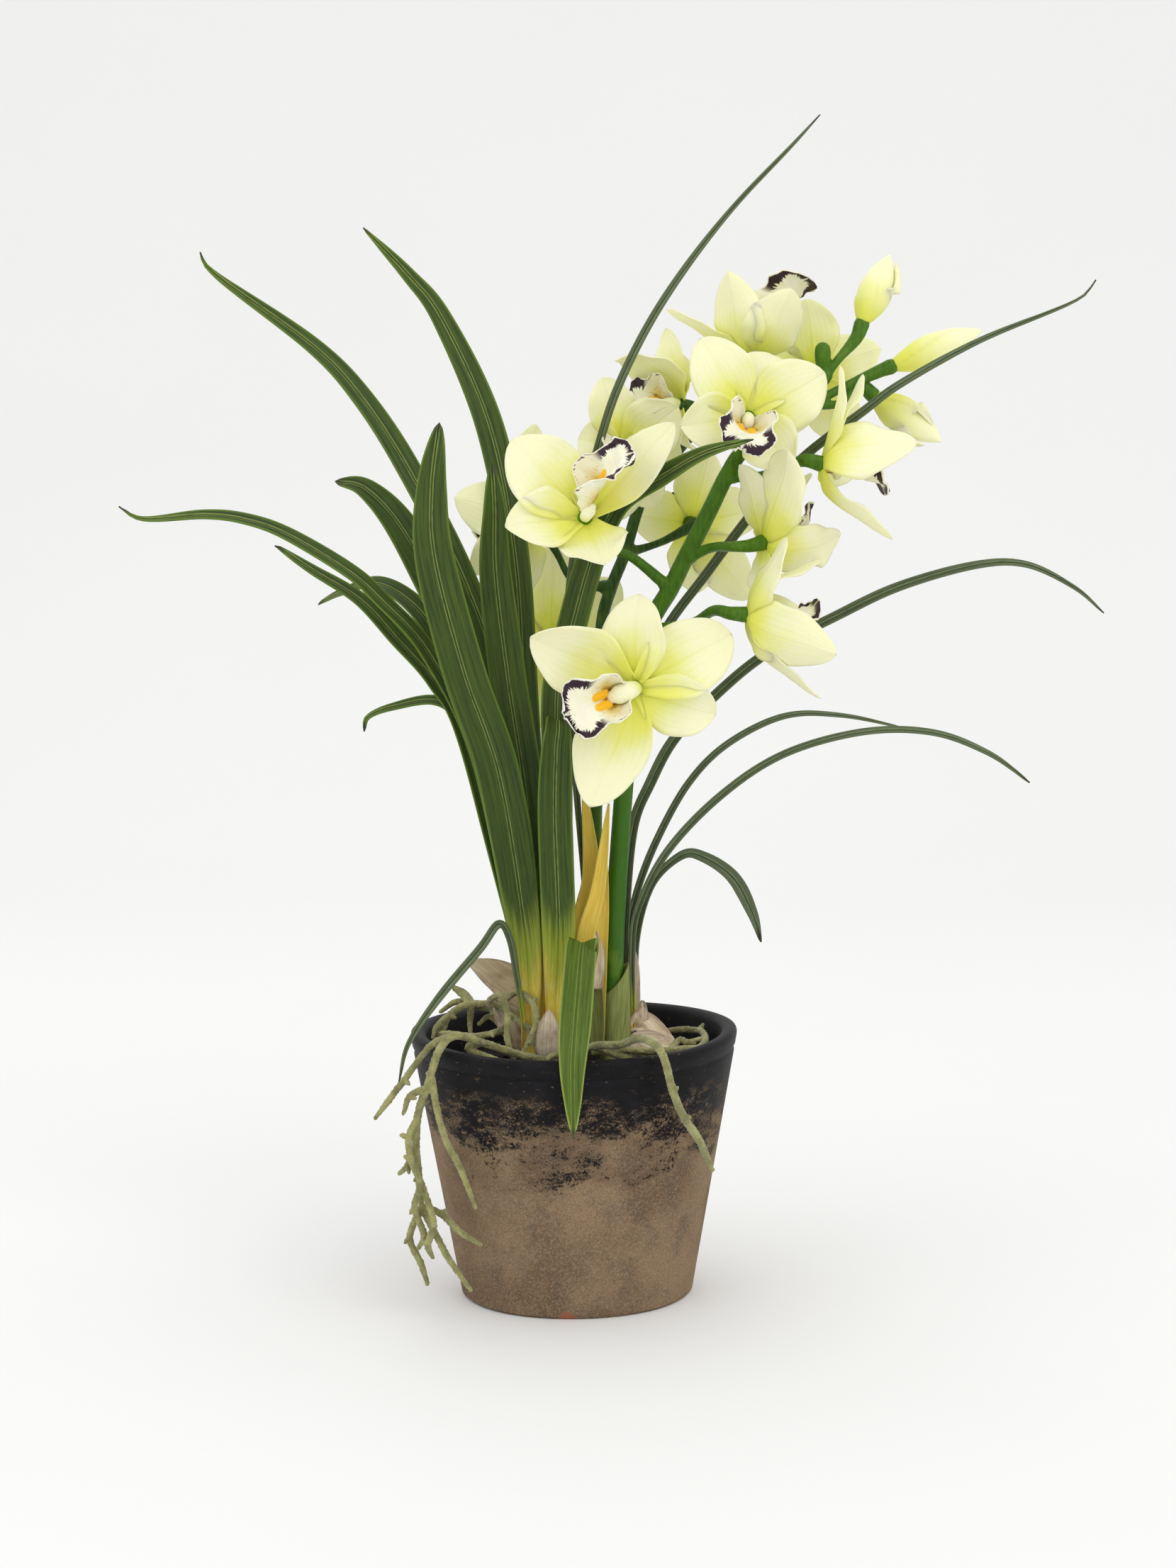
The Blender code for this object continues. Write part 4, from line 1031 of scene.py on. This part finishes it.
def make_roots():
    """Branched roots, melted into one skin each, with short nubs at random."""
    rng = random.Random(11)
    for name, (main, twigs) in ROOTS.items():
        lines = [[Vector((*point, ROOT_RADIUS)) for point in main]]
        for start, points in twigs:
            lines.append([Vector((*main[start], ROOT_RADIUS))]
                         + [Vector((*point, ROOT_RADIUS * 0.85)) for point in points])
        rods = []
        for line in lines:
            line[-1].w *= 0.62
            rods.append(tube(name + "_rod", line, 12, 1.6))
            for point in line[1:-1]:
                if rng.random() < 0.55:
                    away = unit((rng.uniform(-1, 1), rng.uniform(-1, 0.4), rng.uniform(-0.6, 0.6)))
                    nub = [Vector((*(point.to_3d() + away * reach), size))
                           for reach, size in ((0.2, 1.4), (2.2, 1.3), (3.8, 0.9))]
                    rods.append(tube(name + "_nub", nub, 8, 1.0))
        blend_rods(rods, name + "_skin", 0.42, "root", "root", name, 0.55)


# ---- blooms

def tepal_outline(t):
    """Narrow at its claw, widest past the middle, drawn to a soft point."""
    claw = 0.3 + 0.7 * smooth_step(t, 0.0, 0.5) ** 0.75
    point = max(1 - (max(t - 0.52, 0.0) / 0.48) ** 2.1, 0.0) ** 0.64
    return max(claw * point, 0.02)


def tepal(name, centre, facing, phase, tip, width, cup=0.2, twist=0):
    """One petal or sepal, from near the centre out to its tip, hollowed by cup and rippled."""
    tip = Vector(tip)
    outward = (tip - tip.dot(facing) * facing).normalized()
    foot = outward * 1.5
    bend = foot + outward * 0.4 * tip.length
    rows, columns = 26, 14
    length = tip.length

    def place(u, v):
        share = 2 * u - 1
        t = 1 - (1 - v) ** 1.15
        spot = foot * (1 - t) ** 2 + bend * 2 * t * (1 - t) + tip * t ** 2
        along = ((bend - foot) * (1 - t) + (tip - bend) * t).normalized()
        across = facing.cross(outward).lerp(facing.cross(tip.normalized()), t)
        across = (across - across.dot(along) * along).normalized()
        across = Matrix.Rotation(math.radians(twist) * t, 3, along) @ across
        inner = across.cross(along)
        if inner.dot(facing) < 0:
            inner = -inner
        half = 0.54 * width * tepal_outline(t)
        ripple = 0.12 * half * math.sin(7.5 * t + phase + share * 0.9) * abs(share) ** 2.2
        ripple += 0.055 * half * math.sin(19 * t + phase * 2.3 + share * 2) * abs(share) ** 3
        hollow = cup * half * share ** 2 - 0.35 * math.exp(-(share * half / 0.8) ** 2)
        recurve = -0.07 * length * smooth_step(t, 0.6, 1.0) ** 2
        spot = spot + across * share * half + inner * (ripple + hollow + recurve)
        return centre + spot, {"across": share, "along": t}

    piece = sheet(name, columns, rows, place)
    thicken(piece, PETAL_THICKNESS)
    return piece


LIP_SCALE = 0.92
SMALL_COLUMN = 0.64
LIP_HALF = ((0, 5.0), (0.12, 11.5), (0.32, 21.0), (0.46, 19.0), (0.57, 13.6), (0.72, 16.5), (0.84, 15.5),
            (0.93, 11.5), (1.0, 2.0))
LIP_CURL = ((0, 2.3), (0.34, 2.1), (0.5, 1.85), (0.62, 1.25), (0.74, 0.6), (1.0, 0.25))


def lip(name, centre, facing, tip, phase, scale):
    """The lip: side lobes curl up round the column, and the frilled middle lobe turns down."""
    tip = Vector(tip)
    down = (tip - tip.dot(facing) * facing).normalized()
    across = facing.cross(down)
    start = facing * 2 + down * 3.2
    bend = facing * tip.dot(facing) * 0.72 + down * (tip.dot(down) * 0.62 + 1)
    length = tip.length
    rows, columns = 56, 44

    def place(u, v):
        share = 2 * u - 1
        spot = start * (1 - v) ** 2 + bend * 2 * v * (1 - v) + tip * v ** 2
        along = ((bend - start) * (1 - v) + (tip - bend) * v).normalized()
        inner = (along.cross(across)).normalized()
        if inner.dot(down) > 0:
            inner = -inner
        half = between(v, LIP_HALF) * scale
        curl = between(v, LIP_CURL)
        lobe = smooth_step(v, 0.55, 0.75)
        ripple = lobe * 1.7 * abs(share) ** 2 * math.sin(13 * v + share * 6.5 + phase)
        ripple += lobe * 0.6 * abs(share) ** 3 * math.sin(37 * v + share * 17 + phase)
        recurve = -4.2 * smooth_step(v, 0.78, 1.0) ** 1.5 - lobe * 0.12 * half * share ** 2
        flare = 2.6 * abs(share) ** 4 * smooth_step(v, 0.22, 0.4) * (1 - lobe)
        ridge = abs(abs(share * half) - 2.6)
        callus = math.exp(-(ridge / 2.0) ** 2) * smooth_step(v, 0.24, 0.3) * (1 - smooth_step(v, 0.48, 0.56))
        turn = share * curl
        spot = spot + across * (half / curl * math.sin(turn) + math.copysign(flare, share))
        spot += inner * (half / curl * (1 - math.cos(turn)) + ripple + recurve + 1.7 * callus)
        margin = min((1 - abs(share)) * half, (1 - v) * length)
        rim = 14 * math.atan2(share * half, (v - 0.7) * length)
        return centre + spot, {"across": share, "along": v, "edge": margin, "rim": rim, "callus": callus}

    piece = sheet(name, columns, rows, place)
    thicken(piece, LIP_THICKNESS)
    return piece


def column(name, centre, facing, down, size):
    """The hooded rod that arches over the lip."""
    points = [(0.0, -0.5, 3.0), (4, -1.2, 3.5), (8, -0.4, 4.0), (11, 1.8, 4.3), (12.6, 4.4, 4.0),
              (13.2, 6.2, 3.0)]
    line = [Vector((*(centre + (facing * ahead + down * drop) * size), radius * size))
            for ahead, drop, radius in points]

    def swell(turn, along):
        return 1 + 0.1 * math.cos(2 * turn) + 0.07 * smooth_step(along, 0.7, 0.9) * math.cos(3 * turn)

    return tube(name, line, 22, 0.8, swell)


def make_blooms():
    """Thirteen blooms, each of joined tepals, a column and a lip."""
    for number, (centre, facing, tepals, lip_tip) in enumerate(BLOOMS, 1):
        name = f"bloom_{number:02d}"
        centre, facing = Vector(centre), unit(facing)
        sheets = []
        for count, shape in enumerate(tepals):
            sheets.append(tepal(name + "_tepal", centre, facing, number * 1.7 + count * 2.1, *shape))
        settle(join(sheets, name + "_tepals"), "petal", "petal", name + "_petals")
        down = Vector(lip_tip)
        down = (down - down.dot(facing) * facing).normalized()
        size = 1.0 if number == 1 else SMALL_COLUMN
        settle(column(name + "_column", centre, facing, down, size), "column", "petal", name + "_petals")
        facing = unit(TURNED_LIPS.get(number, facing))
        lobes = lip(name + "_lip_lobes", centre, facing, lip_tip, number * 1.3, LIP_SCALE)
        settle(lobes, "lip", "lip", name + "_lip")


BUD_PROFILE = ((0, 0.32), (0.12, 0.62), (0.3, 0.94), (0.48, 1.0), (0.7, 0.82), (0.88, 0.45), (0.97, 0.2),
               (1, 0.1))


def make_buds():
    """Closed buds, wrapped in a spiral, some with free tepals."""
    for name, (foot, tip, width, free) in BUDS.items():
        foot, tip = Vector(foot), Vector(tip)
        axis = tip - foot
        line = [Vector((*(foot + axis * share), 0.5 * width * size * 0.93)) for share, size in BUD_PROFILE]

        def swell(turn, along):
            wrap = (1.5 * turn / math.pi + along * 0.7) % 1.0
            return 0.93 + 0.13 * wrap

        body = tube(name + "_body", line, 48, 0.9, swell)
        across = [math.sin(math.atan2(vertex.co.z, vertex.co.x) * 1.5) for vertex in body.data.vertices]
        write_mark(body, "across", across)
        sheets = [body]
        side = axis.orthogonal().normalized()
        for count, (free_tip, free_width) in enumerate(free):
            base = foot + axis * 0.25
            reach = Vector(free_tip) - base + side * 0.01
            sheets.append(tepal(name + "_free", base, axis.normalized(), count * 2.0, reach, free_width, 0.5))
        settle(join(sheets, name + "_wrapped"), "petal", "petal", name)


# ---- studio

def make_studio():
    """A pale floor that curves up into a wall, a soft white room and three softboxes."""
    width, length, front, bend = 12, 9, -4, 1.6
    floor = start_shape("studio_floor", bpy.ops.mesh.primitive_grid_add, x_subdivisions=4, y_subdivisions=60,
                        size=1)
    for vertex in floor.data.vertices:
        along = (vertex.co.y + 0.5) * length + front
        turn = min(max(along - bend, 0) / bend, math.pi / 2)
        rise = max(along - bend - bend * math.pi / 2, 0)
        vertex.co.x *= width
        vertex.co.y = min(along, bend) + bend * math.sin(turn)
        vertex.co.z = bend * (1 - math.cos(turn)) + rise
    floor.data.materials.append(floor_finish())
    floor.data.shade_smooth()

    world = bpy.data.worlds.new("soft_white_room")
    world.use_nodes = True
    background = world.node_tree.nodes["Background"]
    background.inputs["Color"].default_value = (1.0, 1.0, 0.995, 1)
    background.inputs["Strength"].default_value = 0.97
    bpy.context.scene.world = world

    aim = Vector((0, 0, 0.28))
    for name, spot, power in (("key_softbox", (1.3, -1.9, 2.1), 15.0),
                              ("fill_softbox", (-1.7, -1.4, 1.3), 5.0),
                              ("back_softbox", (-0.5, 1.3, 1.9), 4.0)):
        light = bpy.data.lights.new(name, "AREA")
        light.shape = "SQUARE"
        light.size = 1.6
        light.energy = power
        lamp = bpy.data.objects.new(name, light)
        lamp.location = spot
        lamp.rotation_euler = (aim - Vector(spot)).to_track_quat("-Z", "Y").to_euler()
        bpy.context.scene.collection.objects.link(lamp)


def make_camera():
    """A level view of the front, from 1.2 m away and a little above."""
    yaw, pitch, roll = 0.0068, 0.068, -0.0118
    stand = Matrix.Translation((0, -1.2044, 0.3308))
    ahead = Vector((math.sin(yaw) * math.cos(pitch), math.cos(yaw) * math.cos(pitch), -math.sin(pitch)))
    right = Vector((math.cos(yaw), -math.sin(yaw), 0))
    up = right.cross(ahead)
    level_right = right * math.cos(roll) + up * math.sin(roll)
    level_up = up * math.cos(roll) - right * math.sin(roll)
    lens = bpy.data.cameras.new("camera")
    lens.lens = 57.0
    camera = bpy.data.objects.new("camera", lens)
    axes = Matrix((level_right, level_up, -ahead)).transposed()
    camera.matrix_world = stand @ axes.to_4x4()
    bpy.context.scene.collection.objects.link(camera)
    bpy.context.scene.camera = camera


make_camera()
make_studio()
make_pot()
make_mix()
make_leaves()
make_bracts()
make_stem_sheath()
make_spikes()
make_roots()
make_blooms()
make_buds()
bpy.context.scene.view_settings.view_transform = "Standard"
